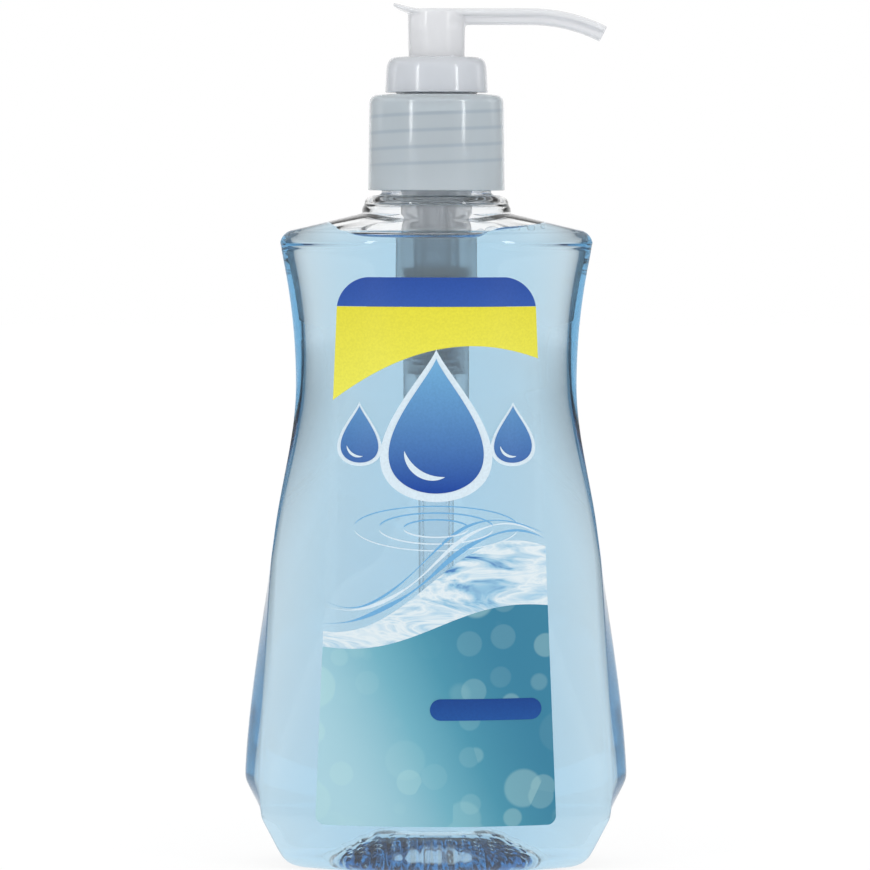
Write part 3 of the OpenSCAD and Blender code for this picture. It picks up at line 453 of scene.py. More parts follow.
def printed(name, x, z, gap, thick, back=False):
    """A thin sheet of print that lies gap off the front or back panel, from grids x and z (rows, columns)."""
    y = front_y(x, z)
    rows, columns = x.shape
    outer, inner = np.stack([x, y - gap - thick, z], -1), np.stack([x, y - gap, z], -1)
    points = np.concatenate([outer.reshape(-1, 3), inner.reshape(-1, 3)])
    i, j = np.arange(rows - 1)[:, None], np.arange(columns - 1)[None]
    a = i * columns + j
    face = np.stack([a, a + 1, a + columns + 1, a + columns], -1).reshape(-1, 4)
    n = rows * columns
    loop = np.concatenate([np.arange(columns - 1), columns - 1 + columns * np.arange(rows - 1),
                           n - 1 - np.arange(columns - 1), n - columns - columns * np.arange(rows - 1)])
    nxt = np.roll(loop, -1)
    rim = np.stack([nxt, loop, loop + n, nxt + n], -1)
    faces = np.concatenate([face, face[:, ::-1] + n, rim])
    if back:
        points[:, 1] *= -1
        faces = faces[:, ::-1]
    return mesh_object(name, points, faces.tolist(), 40)


def round_in(r, h):
    """How far a corner of radius r draws the edge in at the height h past the corner's start."""
    return np.where(h > 0, r - np.sqrt(np.maximum(r * r - np.clip(h, 0, r) ** 2, 0)), 0)


def label_half(z, back=False):
    """Half-width of the front label, or of the narrower and lower back label, with rounded corners."""
    side = LABEL_FOOT_W + (LABEL_TOP_W - LABEL_FOOT_W) * (z - LABEL_Z) / (LABEL_TOP - LABEL_Z)
    top = LABEL_TOP - (BACK_DROP if back else 0)
    return (side - (BACK_INSET if back else 0) - round_in(LABEL_TOP_R, z - top + LABEL_TOP_R)
            - round_in(LABEL_FOOT_R, LABEL_Z + LABEL_FOOT_R - z))


def grid(columns, rows):
    """f from -1 to 1 across and v from 0 to 1 up, as grids."""
    return np.meshgrid(np.linspace(-1, 1, columns + 1), np.linspace(0, 1, rows + 1))


def yellow_edge(f):
    """The yellow band's lower edge."""
    return BAND_Z - 8.6 + 4.2 * f - 6.1 * f * f


def teal_edge(f):
    """The upper edge of the teal field."""
    return LABEL_Z + 40 + 2.4 * np.sin(np.radians(150 * f)) + 3 * f


def wave_edge(f):
    """The upper edge of the pale wave."""
    return teal_edge(f) + 13 * (0.62 + 0.38 * np.sin(np.radians(110 * f + 20)))


def full_width(name, low, high, gap, columns=64, rows=20, thick=INK_T, back=False, ease_low=False,
               ease_high=False):
    """A field across the whole label between the edges low(f) and high(f)."""
    f, v = grid(columns, rows)
    if ease_low:
        v = 1 - np.cos(v * np.pi / 2)
    if ease_high:
        v = np.sin(v * np.pi / 2)
    z = low(f) + (high(f) - low(f)) * v
    return printed(name, f * (label_half(z, back) - FILM_GAP), z, gap, thick, back)


# Finishes

def material(name):
    """A new material with its tree and its Principled BSDF."""
    made = bpy.data.materials.new(name)
    made.use_nodes = True
    return made, made.node_tree, made.node_tree.nodes["Principled BSDF"]


def put(node, **values):
    """Sets sockets by name; a space in a name is written as an underscore."""
    for key, value in values.items():
        node.inputs[key.replace("_", " ")].default_value = value
    return node


def feed(tree, socket, value):
    """Links the socket where value is another socket, and otherwise sets it."""
    if isinstance(value, bpy.types.NodeSocket):
        tree.links.new(value, socket)
    else:
        socket.default_value = value


def add(tree, kind, links=(), props=(), **values):
    """Adds a node, sets its properties and sockets, and links (input name, output socket) pairs into it."""
    node = tree.nodes.new(kind)
    for key, value in dict(props).items():
        setattr(node, key, value)
    put(node, **values)
    for key, source in dict(links).items():
        tree.links.new(source, node.inputs[key])
    return node


def object_coords(tree, scale=(1, 1, 1), location=(0, 0, 0)):
    """Object coordinates through a Mapping node."""
    coords = tree.nodes.new("ShaderNodeTexCoord")
    mapping = add(tree, "ShaderNodeMapping", {"Vector": coords.outputs["Object"]})
    mapping.inputs["Scale"].default_value = scale
    mapping.inputs["Location"].default_value = location
    return mapping.outputs["Vector"]


def ramp(tree, source, stops, interpolation="LINEAR"):
    """A colour ramp over source with (position, colour) stops."""
    node = add(tree, "ShaderNodeValToRGB", {"Fac": source})
    node.color_ramp.interpolation = interpolation
    node.color_ramp.elements[0].position, node.color_ramp.elements[0].color = stops[0][0], (*stops[0][1], 1)
    node.color_ramp.elements[1].position, node.color_ramp.elements[1].color = stops[-1][0], (*stops[-1][1], 1)
    for position, colour in stops[1:-1]:
        node.color_ramp.elements.new(position).color = (*colour, 1)
    return node.outputs["Color"]


def mix(tree, share, a, b, blend="MIX"):
    """Mixes two colours, each a socket or a plain colour, by a socket or a number."""
    node = tree.nodes.new("ShaderNodeMix")
    node.data_type, node.blend_type = "RGBA", blend
    for key, value in ((0, share), (6, a), (7, b)):
        feed(tree, node.inputs[key], (*value, 1) if isinstance(value, tuple) else value)
    return node.outputs[2]


def math_node(tree, operation, *values):
    """A Math node over sockets and numbers."""
    node = tree.nodes.new("ShaderNodeMath")
    node.operation = operation
    for i, value in enumerate(values):
        feed(tree, node.inputs[i], value)
    return node.outputs[0]


def ranged(tree, source, low, high, to_low=0.0, to_high=1.0, smooth=False):
    """source carried from the range low to high over to the range to_low to to_high, held at both ends."""
    node = add(tree, "ShaderNodeMapRange", {"Value": source})
    if smooth:
        node.interpolation_type = "SMOOTHSTEP"
    put(node, From_Min=low, From_Max=high, To_Min=to_low, To_Max=to_high)
    return node.outputs["Result"]


def between(tree, share, a, b):
    """The number that lies a share of the way from a to b, each a socket or plain."""
    node = tree.nodes.new("ShaderNodeMix")
    for key, value in (("Factor", share), ("A", a), ("B", b)):
        feed(tree, node.inputs[key], value)
    return node.outputs["Result"]


def split(tree, vector):
    """The X, Y and Z of a vector socket."""
    return add(tree, "ShaderNodeSeparateXYZ", {"Vector": vector}).outputs


def ahead_of(tree, axes):
    """The squared cosine of a direction from straight ahead, and the squared distance from the axis."""
    along = math_node(tree, "MULTIPLY", axes["Y"], axes["Y"])
    square = math_node(tree, "ADD", math_node(tree, "MULTIPLY", axes["X"], axes["X"]), along)
    return math_node(tree, "DIVIDE", along, square), square


def srgb(*display):
    """Linear colour from 0 to 255 display values."""
    return tuple(float(((v / 255 + 0.055) / 1.055) ** 2.4 if v > 10.3 else v / 255 / 12.92) for v in display)


def moulding_group():
    """A node group for moulded plastic: slow waves in the surface and a fine haze, as two masks."""
    group = bpy.data.node_groups.new("moulding", "ShaderNodeTree")
    for name, value in (("Wave scale", 60.0), ("Grain scale", 1500.0)):
        socket = group.interface.new_socket(name, in_out="INPUT", socket_type="NodeSocketFloat")
        socket.default_value = value
    group.interface.new_socket("Waves", in_out="OUTPUT", socket_type="NodeSocketFloat")
    group.interface.new_socket("Grain", in_out="OUTPUT", socket_type="NodeSocketFloat")
    into, out = group.nodes.new("NodeGroupInput"), group.nodes.new("NodeGroupOutput")
    coords = group.nodes.new("ShaderNodeTexCoord")
    for key, detail in (("Wave scale", 1.0), ("Grain scale", 3.0)):
        links = {"Vector": coords.outputs["Object"], "Scale": into.outputs[key]}
        noise = add(group, "ShaderNodeTexNoise", links, Detail=detail, Roughness=0.55)
        group.links.new(noise.outputs["Fac"], out.inputs["Waves" if key == "Wave scale" else "Grain"])
    return group


MOULDING = moulding_group()


def moulded(tree, bsdf, wave_scale, wave_mm, grain_scale, rough):
    """Moulding marks on a Principled BSDF: waves as a bump of wave_mm, grain as the range of roughness."""
    group = tree.nodes.new("ShaderNodeGroup")
    group.node_tree = MOULDING
    group.inputs["Wave scale"].default_value = wave_scale
    group.inputs["Grain scale"].default_value = grain_scale
    bump = add(tree, "ShaderNodeBump", {"Height": group.outputs["Waves"]}, Distance=wave_mm * MM, Strength=1)
    tree.links.new(bump.outputs["Normal"], bsdf.inputs["Normal"])
    rough = ranged(tree, group.outputs["Grain"], 0.3, 0.7, *rough)
    tree.links.new(rough, bsdf.inputs["Roughness"])


def plastic(name, colour, waves, grain, **sockets):
    """A moulded material, its waves as (scale, height in mm), its grain as (scale, two roughnesses)."""
    made, tree, bsdf = material(name)
    put(bsdf, Base_Color=(*colour, 1), **sockets)
    moulded(tree, bsdf, *waves, grain[0], grain[1:])
    return made


def soap_material():
    """The liquid: clear, water-thin in look, and light blue by depth."""
    made, tree, bsdf = material("blue liquid")
    put(bsdf, Base_Color=(1, 1, 1, 1), IOR=1.34, Transmission_Weight=1.0, Roughness=0.0)
    depth_blue = add(tree, "ShaderNodeVolumeAbsorption", Color=(0.03, 0.575, 0.845, 1), Density=24.5)
    tree.links.new(depth_blue.outputs["Volume"], tree.nodes["Material Output"].inputs["Volume"])
    return made


def milky_plastic(name, colour, clear, rough, ior=1.45, waves=0.03, gloss=0.0):
    """Natural polypropylene: part clear, part milky, hazy inside, with slow waves under a glossy skin."""
    return plastic(name, colour, (160, waves), (2600, rough * 0.9, rough * 1.1), IOR=ior,
                   Transmission_Weight=clear, Coat_Weight=gloss, Coat_Roughness=0.12)


def threaded_plastic(name, colour, band, clear, rough, pitch, low, high):
    """The closure's plastic: milky, with darker bands painted along the screw thread: painted shade that
    stands in for the thread seen through the cup.

    The painted band of shade, in the colour band, lies where (z / pitch - angle / 360 degrees) is near a half,
    between the heights low and high."""
    made = plastic(name, colour, (160, 0.02), (2600, rough * 0.9, rough * 1.1), IOR=1.45,
                   Transmission_Weight=clear, Coat_Weight=1.0, Coat_Roughness=0.1)
    tree = made.node_tree
    axes = split(tree, object_coords(tree))
    turn = math_node(tree, "DIVIDE", math_node(tree, "ARCTAN2", axes["Y"], axes["X"]), 2 * math.pi)
    climb = math_node(tree, "DIVIDE", axes["Z"], pitch)
    saw = math_node(tree, "FRACT", math_node(tree, "SUBTRACT", climb, turn))
    off = math_node(tree, "ABSOLUTE", math_node(tree, "SUBTRACT", saw, 0.5))
    # painted shade: a mask along the thread's helix that darkens the colour towards band
    thread_shade = ranged(tree, off, 0.03, 0.17, 1.0, 0.0, smooth=True)
    above = ranged(tree, axes["Z"], low, low + MM, smooth=True)
    below = ranged(tree, axes["Z"], high - MM, high, 1.0, 0.0, smooth=True)
    share = math_node(tree, "MULTIPLY", thread_shade, math_node(tree, "MULTIPLY", above, below))
    tree.links.new(mix(tree, share, colour, band), tree.nodes["Principled BSDF"].inputs["Base Color"])
    return made


def ink(name, colour, deep=None, rise=(0.0, 1.0), grain=0.04, gloss=0.3):
    """A printed field: its colour goes over to deep from the height rise[0] to rise[1] in metres, with the
    fine unevenness of flexographic ink under a gloss varnish."""
    made, tree, bsdf = material(name)
    where = object_coords(tree)
    tone = srgb(*colour)
    if deep:
        share = ranged(tree, split(tree, where)["Z"], *rise)
        tone = mix(tree, share, tone, srgb(*deep))
    speckle = add(tree, "ShaderNodeTexNoise", {"Vector": where}, Scale=2200.0, Detail=2.0)
    uneven = ranged(tree, speckle.outputs["Fac"], 0.35, 0.65, 1 - grain, 1 + grain)
    shade = add(tree, "ShaderNodeCombineXYZ", dict.fromkeys("XYZ", uneven))
    tree.links.new(mix(tree, 1.0, tone, shade.outputs["Vector"], "MULTIPLY"), bsdf.inputs["Base Color"])
    put(bsdf, Roughness=gloss, Specular_IOR_Level=0.25)
    return made


def teal_ink():
    """The lower field: teal that deepens to the right, with soft round lights of several sizes over it."""
    made, tree, bsdf = material("teal ink")
    where = object_coords(tree)
    axes = split(tree, where)
    slant = math_node(tree, "ADD", axes["X"], math_node(tree, "MULTIPLY", axes["Z"], 0.45))
    share = ranged(tree, slant, -0.016, 0.036, smooth=True)
    tone = ramp(tree, share, [(0.0, srgb(170, 210, 222)), (0.45, srgb(112, 176, 194)),
                              (0.75, srgb(74, 148, 172)), (1.0, srgb(54, 128, 158))])
    for scale, shift, radius, weight in ((95.0, 0.0, 0.46, 0.34), (150.0, 0.31, 0.42, 0.24)):
        flat = object_coords(tree, (1, 0.0, 1), (shift, 0, shift))
        cells = add(tree, "ShaderNodeTexVoronoi", {"Vector": flat}, Scale=scale, Randomness=0.85)
        disc = ranged(tree, cells.outputs["Distance"], radius, radius - 0.06, smooth=True)
        luck = add(tree, "ShaderNodeSeparateColor", {"Color": cells.outputs["Color"]})
        some = ranged(tree, luck.outputs["Red"], 0.35, 1.0, 0.0, weight)
        tone = mix(tree, math_node(tree, "MULTIPLY", disc, some), tone, srgb(196, 233, 226))
    tree.links.new(tone, bsdf.inputs["Base Color"])
    put(bsdf, Roughness=0.3, Specular_IOR_Level=0.25)
    return made


def wave_ink():
    """The pale wave: white and light-blue streaks that run along it."""
    made, tree, bsdf = material("pale wave ink")
    flow = object_coords(tree, (0.25, 0.0, 1.0))
    bend = add(tree, "ShaderNodeTexNoise", {"Vector": flow}, Scale=260.0, Detail=4.0, Roughness=0.6,
               Distortion=1.2)
    tone = ramp(tree, bend.outputs["Fac"], [(0.28, srgb(62, 118, 182)), (0.38, srgb(150, 196, 222)),
                                            (0.52, srgb(226, 236, 240)), (0.68, srgb(160, 202, 226))])
    tree.links.new(tone, bsdf.inputs["Base Color"])
    put(bsdf, Roughness=0.3, Specular_IOR_Level=0.25)
    return made


# The pump's shapes

RING_TOP = high_mm("lock_ring")[2]
SLEEVE_Z = low_mm("lock_ring")[2]
FLANGE_Z = high_mm("neck_gasket")[2]
CLOSURE_Z, CLOSURE_TOP = low_mm("closure")[2], high_mm("closure")[2]
CAP_R, CAP_TOP_R, CAP_WALL, CAP_DECK, CAP_HOLE = 13.9, 13.63, 1.3, 1.2, 8.22
RING_Z = CLOSURE_TOP + 0.4
DECK_Z = RING_TOP - 1.4
SKIRT_R, SLEEVE_BORE, SLEEVE_R, CUP_BORE, CUP_R = 5.72, 5.77, 6.87, 6.92, 8.12
SKIRT_Z = low_mm("pump_head")[2]
HEAD_TOP = RING_TOP + 9.75
SPOUT_T = 3.4
SPOUT_Z = HEAD_TOP + 0.15 - SPOUT_T / 2
SPOUT_RUN, SPOUT_BEND_R, SPOUT_BEND = 19.0, 33.0, math.radians(26.6)
SPOUT_W, TIP_W, CHANNEL_R = 9.4, 6.0, 1.05
HEAD_EDGE_R = 0.85


def make_closure():
    """The closure: a slightly tapered cup, open below, with a hole in its deck and a rounded top edge."""
    outline = eased_corners([(CAP_R - CAP_WALL, CLOSURE_Z), (CAP_R, CLOSURE_Z), (CAP_TOP_R, CLOSURE_TOP),
                             (CAP_HOLE, CLOSURE_TOP), (CAP_HOLE, CLOSURE_TOP - CAP_DECK),
                             (CAP_TOP_R - CAP_WALL, CLOSURE_TOP - CAP_DECK)],
                            [0.4, 0.3, 1.9, 0.2, 0.15, 0.9], 8)
    return turned("closure_cap", outline, 256)


def make_lock_ring():
    """The lock ring over the cylinder's collar, with the guide sleeve that hangs from it into the neck."""
    outline = eased_corners([(SLEEVE_BORE, SLEEVE_Z + 1.2), (4.1, SLEEVE_Z + 1.2), (4.1, SLEEVE_Z),
                             (SLEEVE_R, SLEEVE_Z), (SLEEVE_R, DECK_Z), (8.14, DECK_Z), (8.14, RING_Z),
                             (10.43, RING_Z), (10.38, RING_Z + 1.0), (10.07, RING_TOP),
                             (SLEEVE_BORE, RING_TOP)],
                            [0.1, 0.1, 0.2, 0.3, 0.1, 0.1, 0.3, 0.3, 0.1, 2.6, 0.35], 8)
    return turned("lock_ring_moulding", outline, 256)


def make_cylinder():
    """The pump's cylinder: collar, flange, wide cup, barrel, chamber with the ball's seat, tube socket."""
    chamber_z, tube_top = low_mm("ball_cage")[2], high_mm("dip_tube")[2]
    socket_z, cup_z = low_mm("pump_cylinder")[2], SLEEVE_Z - 0.6
    chamber_top = low_mm("piston_seat")[2] - 1
    seat_z = tube_top + 1.2
    outline = eased_corners(
        [(CUP_BORE, DECK_Z), (CUP_R, DECK_Z), (CUP_R, FLANGE_Z + 1.2), (10.8, FLANGE_Z + 1.2),
         (10.8, FLANGE_Z), (CUP_R, FLANGE_Z), (CUP_R, cup_z), (7.2, cup_z - 1.5), (7.2, chamber_top),
         (5.7, chamber_top - 2), (5.7, seat_z), (4.32, tube_top), (4.32, socket_z), (3.22, socket_z),
         (3.22, tube_top), (1.8, tube_top), (1.8, seat_z), (3.2, seat_z), (3.2, chamber_z), (4.7, chamber_z),
         (4.7, chamber_top), (6.0, chamber_top + 1), (6.0, cup_z - 0.5), (CUP_BORE, cup_z - 0.2)],
        [0.2, 0.2, 0.2, 0.2, 0.2, 0.2, 0.5, 0.5, 0.6, 0.6, 0.5, 0.4,
         0.5, 0.2, 0.1, 0.1, 0.2, 0.3, 0.1, 0.1, 0.2, 0.2, 0.3, 0.2], 5)
    return turned("cylinder_moulding", outline, 192)


def make_tube():
    """The dip tube: an extruded tube cut square, with its lower end very slightly flared."""
    outer_r, bore_r, flare_out = 3.17, 2.3, 0.03
    z0, z1 = low_mm("dip_tube")[2], high_mm("dip_tube")[2]
    z = np.linspace(z0, z1, 60)
    outer = np.stack([outer_r + flare_out * np.exp(z0 - z), z], -1)
    inner = np.stack([bore_r + 0 * z, z], -1)[::-1]
    return turned("tube_extrusion", np.vstack([outer, inner]), 96)


def closed_curve(points, count):
    """count points on a closed smooth curve (Catmull-Rom) through points."""
    p = np.asarray(points, float)
    n = len(p)
    s = np.arange(count) * n / count
    i, u = np.floor(s).astype(int), (s % 1)[:, None]
    a, b, c, d = (p[(i + k) % n] for k in (-1, 0, 1, 2))
    bend = (2 * a - 5 * b + 4 * c - d) * u ** 2 + (3 * b - a - 3 * c + d) * u ** 3
    return 0.5 * (2 * b + (c - a) * u + bend)


def spout_path(start, reach=0.0, count=48):
    """Places along the spout: (x, z, angle below level, share of the way). It runs level, then bends down on
    an arc, and may go on straight for reach past its end."""
    bend = SPOUT_BEND_R * SPOUT_BEND
    run = SPOUT_RUN - start
    s = np.linspace(0, run + bend + reach, count)
    turn = np.clip((s - run) / SPOUT_BEND_R, 0, SPOUT_BEND)
    past = np.maximum(s - run - bend, 0)
    x = np.where(s < run, start + s, SPOUT_RUN + SPOUT_BEND_R * np.sin(turn)) + past * np.cos(turn)
    z = SPOUT_Z - SPOUT_BEND_R * (1 - np.cos(turn)) - past * np.sin(turn)
    return x, z, turn, np.clip(s / (run + bend), 0, 1)


def carried(section, path, drop=0.0):
    """Rings of a section (rows, k, 2) of (across, up) points carried square along a path."""
    x, z, turn, _ = (v[:, None] for v in path)
    across, up = section[..., 0], section[..., 1] - drop
    return np.stack([x + up * np.sin(turn), across, z + up * np.cos(turn)], -1)


def spout_solid():
    """The spout: a crowned lip, 9.4 mm wide at the head and 6 mm at the tip, over a narrower channel wall."""
    path = spout_path(1.0)
    t = SPOUT_T / 2
    share = path[3]
    w = (SPOUT_W + (TIP_W - SPOUT_W) * share ** 0.7) / 2
    half = np.array([[0.0, 1.0, 0], [0.5, 0.965, 0], [0.82, 0.86, 0], [0.97, 0.66, 0], [1.0, 0.45, 0],
                     [0.95, 0.25, 0], [0.80, 0.13, 0], [0.0, 0.02, 2.25], [0.0, -0.2, 1.95],
                     [0.0, -0.55, 1.9], [0.0, -0.83, 1.5], [0.0, -0.985, 0.7]])
    mirrored = half[1:][::-1]
    rings = []
    for one in w:
        right = np.stack([half[:, 0] * one + half[:, 2], half[:, 1] * t], -1)
        left = np.stack([-(mirrored[:, 0] * one + mirrored[:, 2]), mirrored[:, 1] * t], -1)
        rings.append(closed_curve(np.vstack([right, [[0, -t]], left]), 72)[::-1])
    return carried(np.array(rings), path), path


def tab_solid():
    """The thumb tab: a tongue that curves up behind the head and thins towards its rounded end."""
    start, bend, reach, wide, thick = 2.0, math.radians(27), 8.7, 4.9, 1.4
    radius = (reach - start) / math.sin(bend)
    k = np.linspace(0, 1, 16)[:, None]
    b = np.arange(40)[None] * 2 * np.pi / 40
    a = bend * k
    w = wide * np.sqrt(1 - (0.86 * k) ** 3)
    t = thick / 2 * (1 - 0.45 * k ** 3)
    across = np.sign(np.sin(b)) * np.abs(np.sin(b)) ** 0.6 * w
    up = np.cos(b) * t
    x = -start - radius * np.sin(a) + up * np.sin(a)
    z = HEAD_TOP - thick / 2 + radius * (1 - np.cos(a)) + up * np.cos(a)
    return np.stack([x, across + 0 * x, z], -1)


def finished(piece, name):
    """The piece with its modifiers made real."""
    bpy.context.view_layer.update()
    evaluated = piece.evaluated_get(bpy.context.evaluated_depsgraph_get())
    mesh = bpy.data.meshes.new_from_object(evaluated)
    mesh.name = name
    made = bpy.data.objects.new(name, mesh)
    bpy.context.scene.collection.objects.link(made)
    bpy.data.objects.remove(piece)
    return made


def make_head():
    """The pump head as one moulding: skirt, head, spout and thumb tab are run together by a fine remesh,
    which fillets where they meet, and the spout's channel is then cut out of it."""
    socket_top = HEAD_TOP - 4.35
    socket_foot = socket_top - 11.5
    edge = arc(SKIRT_R + 0.1 - HEAD_EDGE_R, HEAD_TOP - HEAD_EDGE_R, HEAD_EDGE_R, np.pi / 2)
    profile = np.vstack([[[1.0, SPOUT_Z + 0.4], [1.6, SPOUT_Z], [1.6, socket_top], [4.02, socket_top],
                          [4.02, socket_foot], [4.72, socket_foot], [4.72, SKIRT_Z], [SKIRT_R, SKIRT_Z],
                          [SKIRT_R, RING_TOP], [SKIRT_R + 0.1, HEAD_TOP - 3.4]], edge, [[3.0, HEAD_TOP]]])
    skirt = stack("skirt", around(profile, 96), [0, 0, SPOUT_Z + 0.4], [0, 0, HEAD_TOP])
    rings, path = spout_solid()
    end = [path[0][-1], 0, path[1][-1]]
    spout = stack("spout", rings, [path[0][0], 0, path[1][0]], end)
    tongue = tab_solid()[:, ::-1]
    tip = tongue[-1].mean(0)
    tab = stack("tab", tongue[::-1][:, ::-1], tip, [-2.0, 0, HEAD_TOP - 0.7])
    for part in (spout, tab):
        union = skirt.modifiers.new("join", "BOOLEAN")
        union.operation, union.solver, union.object = "UNION", "EXACT", part
    skirt = finished(skirt, "head_union")
    remesh = skirt.modifiers.new("remesh", "REMESH")
    remesh.mode, remesh.voxel_size, remesh.use_smooth_shade = "VOXEL", 0.00019, True
    relax = skirt.modifiers.new("relax", "SMOOTH")
    relax.factor, relax.iterations = 0.5, 6
    skirt = finished(skirt, "head_remeshed")
    r = CHANNEL_R
    bore = closed_curve([[0, r], [r, 0], [0, -r], [-r, 0]], 24)[::-1]
    channel_path = spout_path(0.5, 1.5, 40)
    channel = carried(np.broadcast_to(bore, (40, 24, 2)), channel_path, 0.2)
    cut = stack("channel", channel, channel[0].mean(0), channel[-1].mean(0))
    hole = skirt.modifiers.new("channel", "BOOLEAN")
    hole.operation, hole.solver, hole.object = "DIFFERENCE", "EXACT", cut
    head = finished(skirt, "head_moulding")
    for part in (spout, tab, cut):
        bpy.data.objects.remove(part)
    head.data.set_sharp_from_angle(angle=math.radians(50))
    return head


def make_spring():
    """The return spring: round wire on a helix whose end turns lie flat."""
    turns, wire, coil = 8, 0.9, 3.9
    z0, z1 = low_mm("return_spring")[2], high_mm("return_spring")[2]
    k = np.linspace(0, 1, turns * 40 + 1)
    flat = 0.9 / turns
    lift = wire * 1.02 * 0.9
    s = np.clip((k - flat) / (1 - 2 * flat), 0, 1)
    z = (z0 + wire / 2 + s * (z1 - z0 - wire - 2 * lift)
         + lift * (np.minimum(k / flat, 1) + np.maximum((k - 1 + flat) / flat, 0)))
    a = 2 * np.pi * turns * k[:, None]
    b = np.arange(14)[None] * 2 * np.pi / 14
    r = coil + wire / 2 * np.cos(b)
    rings = np.stack([r * np.cos(a), r * np.sin(a), z[:, None] + wire / 2 * np.sin(b)], -1)
    spring = stack("spring_coil", rings, rings[0].mean(0), rings[-1].mean(0))
    return spring, (0, 0, z0 * MM), (0, 0, z1 * MM)


# The whole object

polyester = plastic("clear polyester", (0.99, 0.998, 1.0), (45, 0.02), (900, 0.0, 0.02), IOR=1.45,
                    Transmission_Weight=1.0)
liquid = soap_material()
film = plastic("clear label film", (0.86, 0.94, 1.0), (90, 0.004), (1800, 0.1, 0.2), Alpha=0.016, IOR=1.4)
# the skin of a bubble is the liquid itself, too thin to show its colour
bubble_skin = plastic("bubble skin", (0.97, 0.99, 1.0), (300, 0.002), (900, 0.0, 0.01), IOR=1.34,
                      Transmission_Weight=1.0)
blue_ink = ink("blue ink", (50, 90, 172), (40, 78, 160), (BAND_Z * MM, LABEL_TOP * MM))
yellow_ink = ink("yellow ink", (234, 231, 88), (226, 218, 62), (0.095, 0.114))
pill_ink = ink("pill ink", (26, 82, 156), (16, 66, 140), (0.031, 0.0355))
# the second colour is painted shade for the thread seen through the cup
frosted = threaded_plastic("frosted polypropylene", (0.86, 0.94, 0.99), (0.70, 0.80, 0.88), 0.62, 0.33,
                           0.0033, (CLOSURE_Z + 4.5) * MM, (CLOSURE_TOP - 1.8) * MM)
milky = milky_plastic("milky polypropylene", (0.90, 0.935, 0.985), 0.42, 0.36, gloss=1.0)
pressed = milky_plastic("head polypropylene", (0.955, 0.965, 0.99), 0.30, 0.36, gloss=1.0)
inner = milky_plastic("inner polypropylene", (0.96, 0.975, 1.0), 0.85, 0.40, ior=1.3)
sunk = milky_plastic("immersed polypropylene", (0.96, 0.98, 1.0), 0.80, 0.34, ior=1.13)
tubing = milky_plastic("tube polyethylene", (0.985, 0.99, 1.0), 0.97, 0.20, ior=1.12)
foam = milky_plastic("foamed gasket", (0.92, 0.92, 0.91), 0.0, 0.6)
steel = plastic("spring steel", (0.80, 0.81, 0.83), (400, 0.004), (5000, 0.2, 0.32), Metallic=1.0)
glass_ball = milky_plastic("ball", (0.78, 0.8, 0.82), 0.0, 0.15, waves=0.002)
white_piston = milky_plastic("piston polyethylene", (0.9, 0.91, 0.92), 0.2, 0.35)

ride(make_bottle(), "bottle", "clear_body", polyester, "bottle")
ride(make_liquid(), "bottle", "soap", liquid, "soap")
ride(make_bubbles(), "bottle", "soap", bubble_skin)

ink_gap = 2 * FILM_GAP + FILM_T
top_gap = ink_gap + INK_T + FILM_GAP


def eased(v):
    """v from 0 to 1 with its ends drawn out."""
    return (1 - np.cos(np.pi * v)) / 2


def label_sheet(name, back):
    """The clear film of a whole label."""
    f, v = grid(64, 90)
    z = LABEL_Z + (LABEL_TOP - (BACK_DROP if back else 0) - LABEL_Z) * eased(v)
    return printed(name, f * label_half(z, back), z, FILM_GAP, FILM_T, back)


def drop_grid(width, height, foot, columns=28, rows=64):
    """A water drop standing on the height foot: a circle's outline drawn in to a point at the top."""
    f, v = grid(columns, rows)
    a = np.pi * (1 - v)
    half = np.maximum(np.sin(a) * np.sin(a / 2) ** 1.5 / 0.7 * width / 2, 0.02)
    return f * half, foot + height * (1 + np.cos(a)) / 2


ride(label_sheet("front_film", False), "bottle", "label_film", film, "front_label")
ride(label_sheet("back_film", True), "bottle", "label_film", film, "back_label")
for name, drop, node in (("blue_band", 0, "label_blue_band"), ("back_band", BACK_DROP, "back_blue_band")):
    band = full_width(name, lambda f: BAND_Z - drop + 0 * f, lambda f: LABEL_TOP - FILM_GAP - drop + 0 * f,
                      ink_gap, back=drop > 0, ease_high=True)
    ride(band, "bottle", "ink_blue", blue_ink, node)
field = full_width("yellow_band", yellow_edge, lambda f: BAND_Z - FILM_GAP + 0 * f, ink_gap)
ride(field, "bottle", "ink_yellow", yellow_ink, "label_yellow_band")
field = full_width("teal_field", lambda f: LABEL_Z + FILM_GAP + 0 * f, teal_edge, ink_gap, rows=60,
                   ease_low=True)
ride(field, "bottle", "ink_teal", teal_ink(), "label_teal_field")
field = full_width("pale_wave", lambda f: teal_edge(f) + FILM_GAP, wave_edge, ink_gap, rows=24)
ride(field, "bottle", "ink_wave", wave_ink(), "label_pale_wave")
DROP_W, DROP_H = 19.0, 27.0
drop_z = low_mm("label_water_drop")[2]
drop_ink = ink("drop ink", (20, 66, 156), (112, 172, 214), (drop_z * MM, (drop_z + DROP_H) * MM))
rim_ink = ink("pale rim ink", (214, 230, 240))


def printed_drop(name, across, width, height, foot, *replaced):
    """A printed drop with a pale rim under it and a crescent of light on it."""
    rim = width * 0.09
    x, z = drop_grid(width + 2 * rim, height + 2.1 * rim, foot - rim)
    ride(printed(name + "_rim", across + x, z, ink_gap, INK_T), "bottle", "ink_drop", rim_ink)
    x, z = drop_grid(width, height, foot)
    ride(printed(name, across + x, z, top_gap, INK_T), "bottle", "ink_drop", drop_ink, *replaced)
    x, z = arc_band(across, foot + width / 2, width * 0.34, width * 0.34, 190, 285, width * 0.07)
    ride(printed(name + "_light", x, z, top_gap + INK_T + FILM_GAP, INK_T), "bottle", "ink_drop", rim_ink)


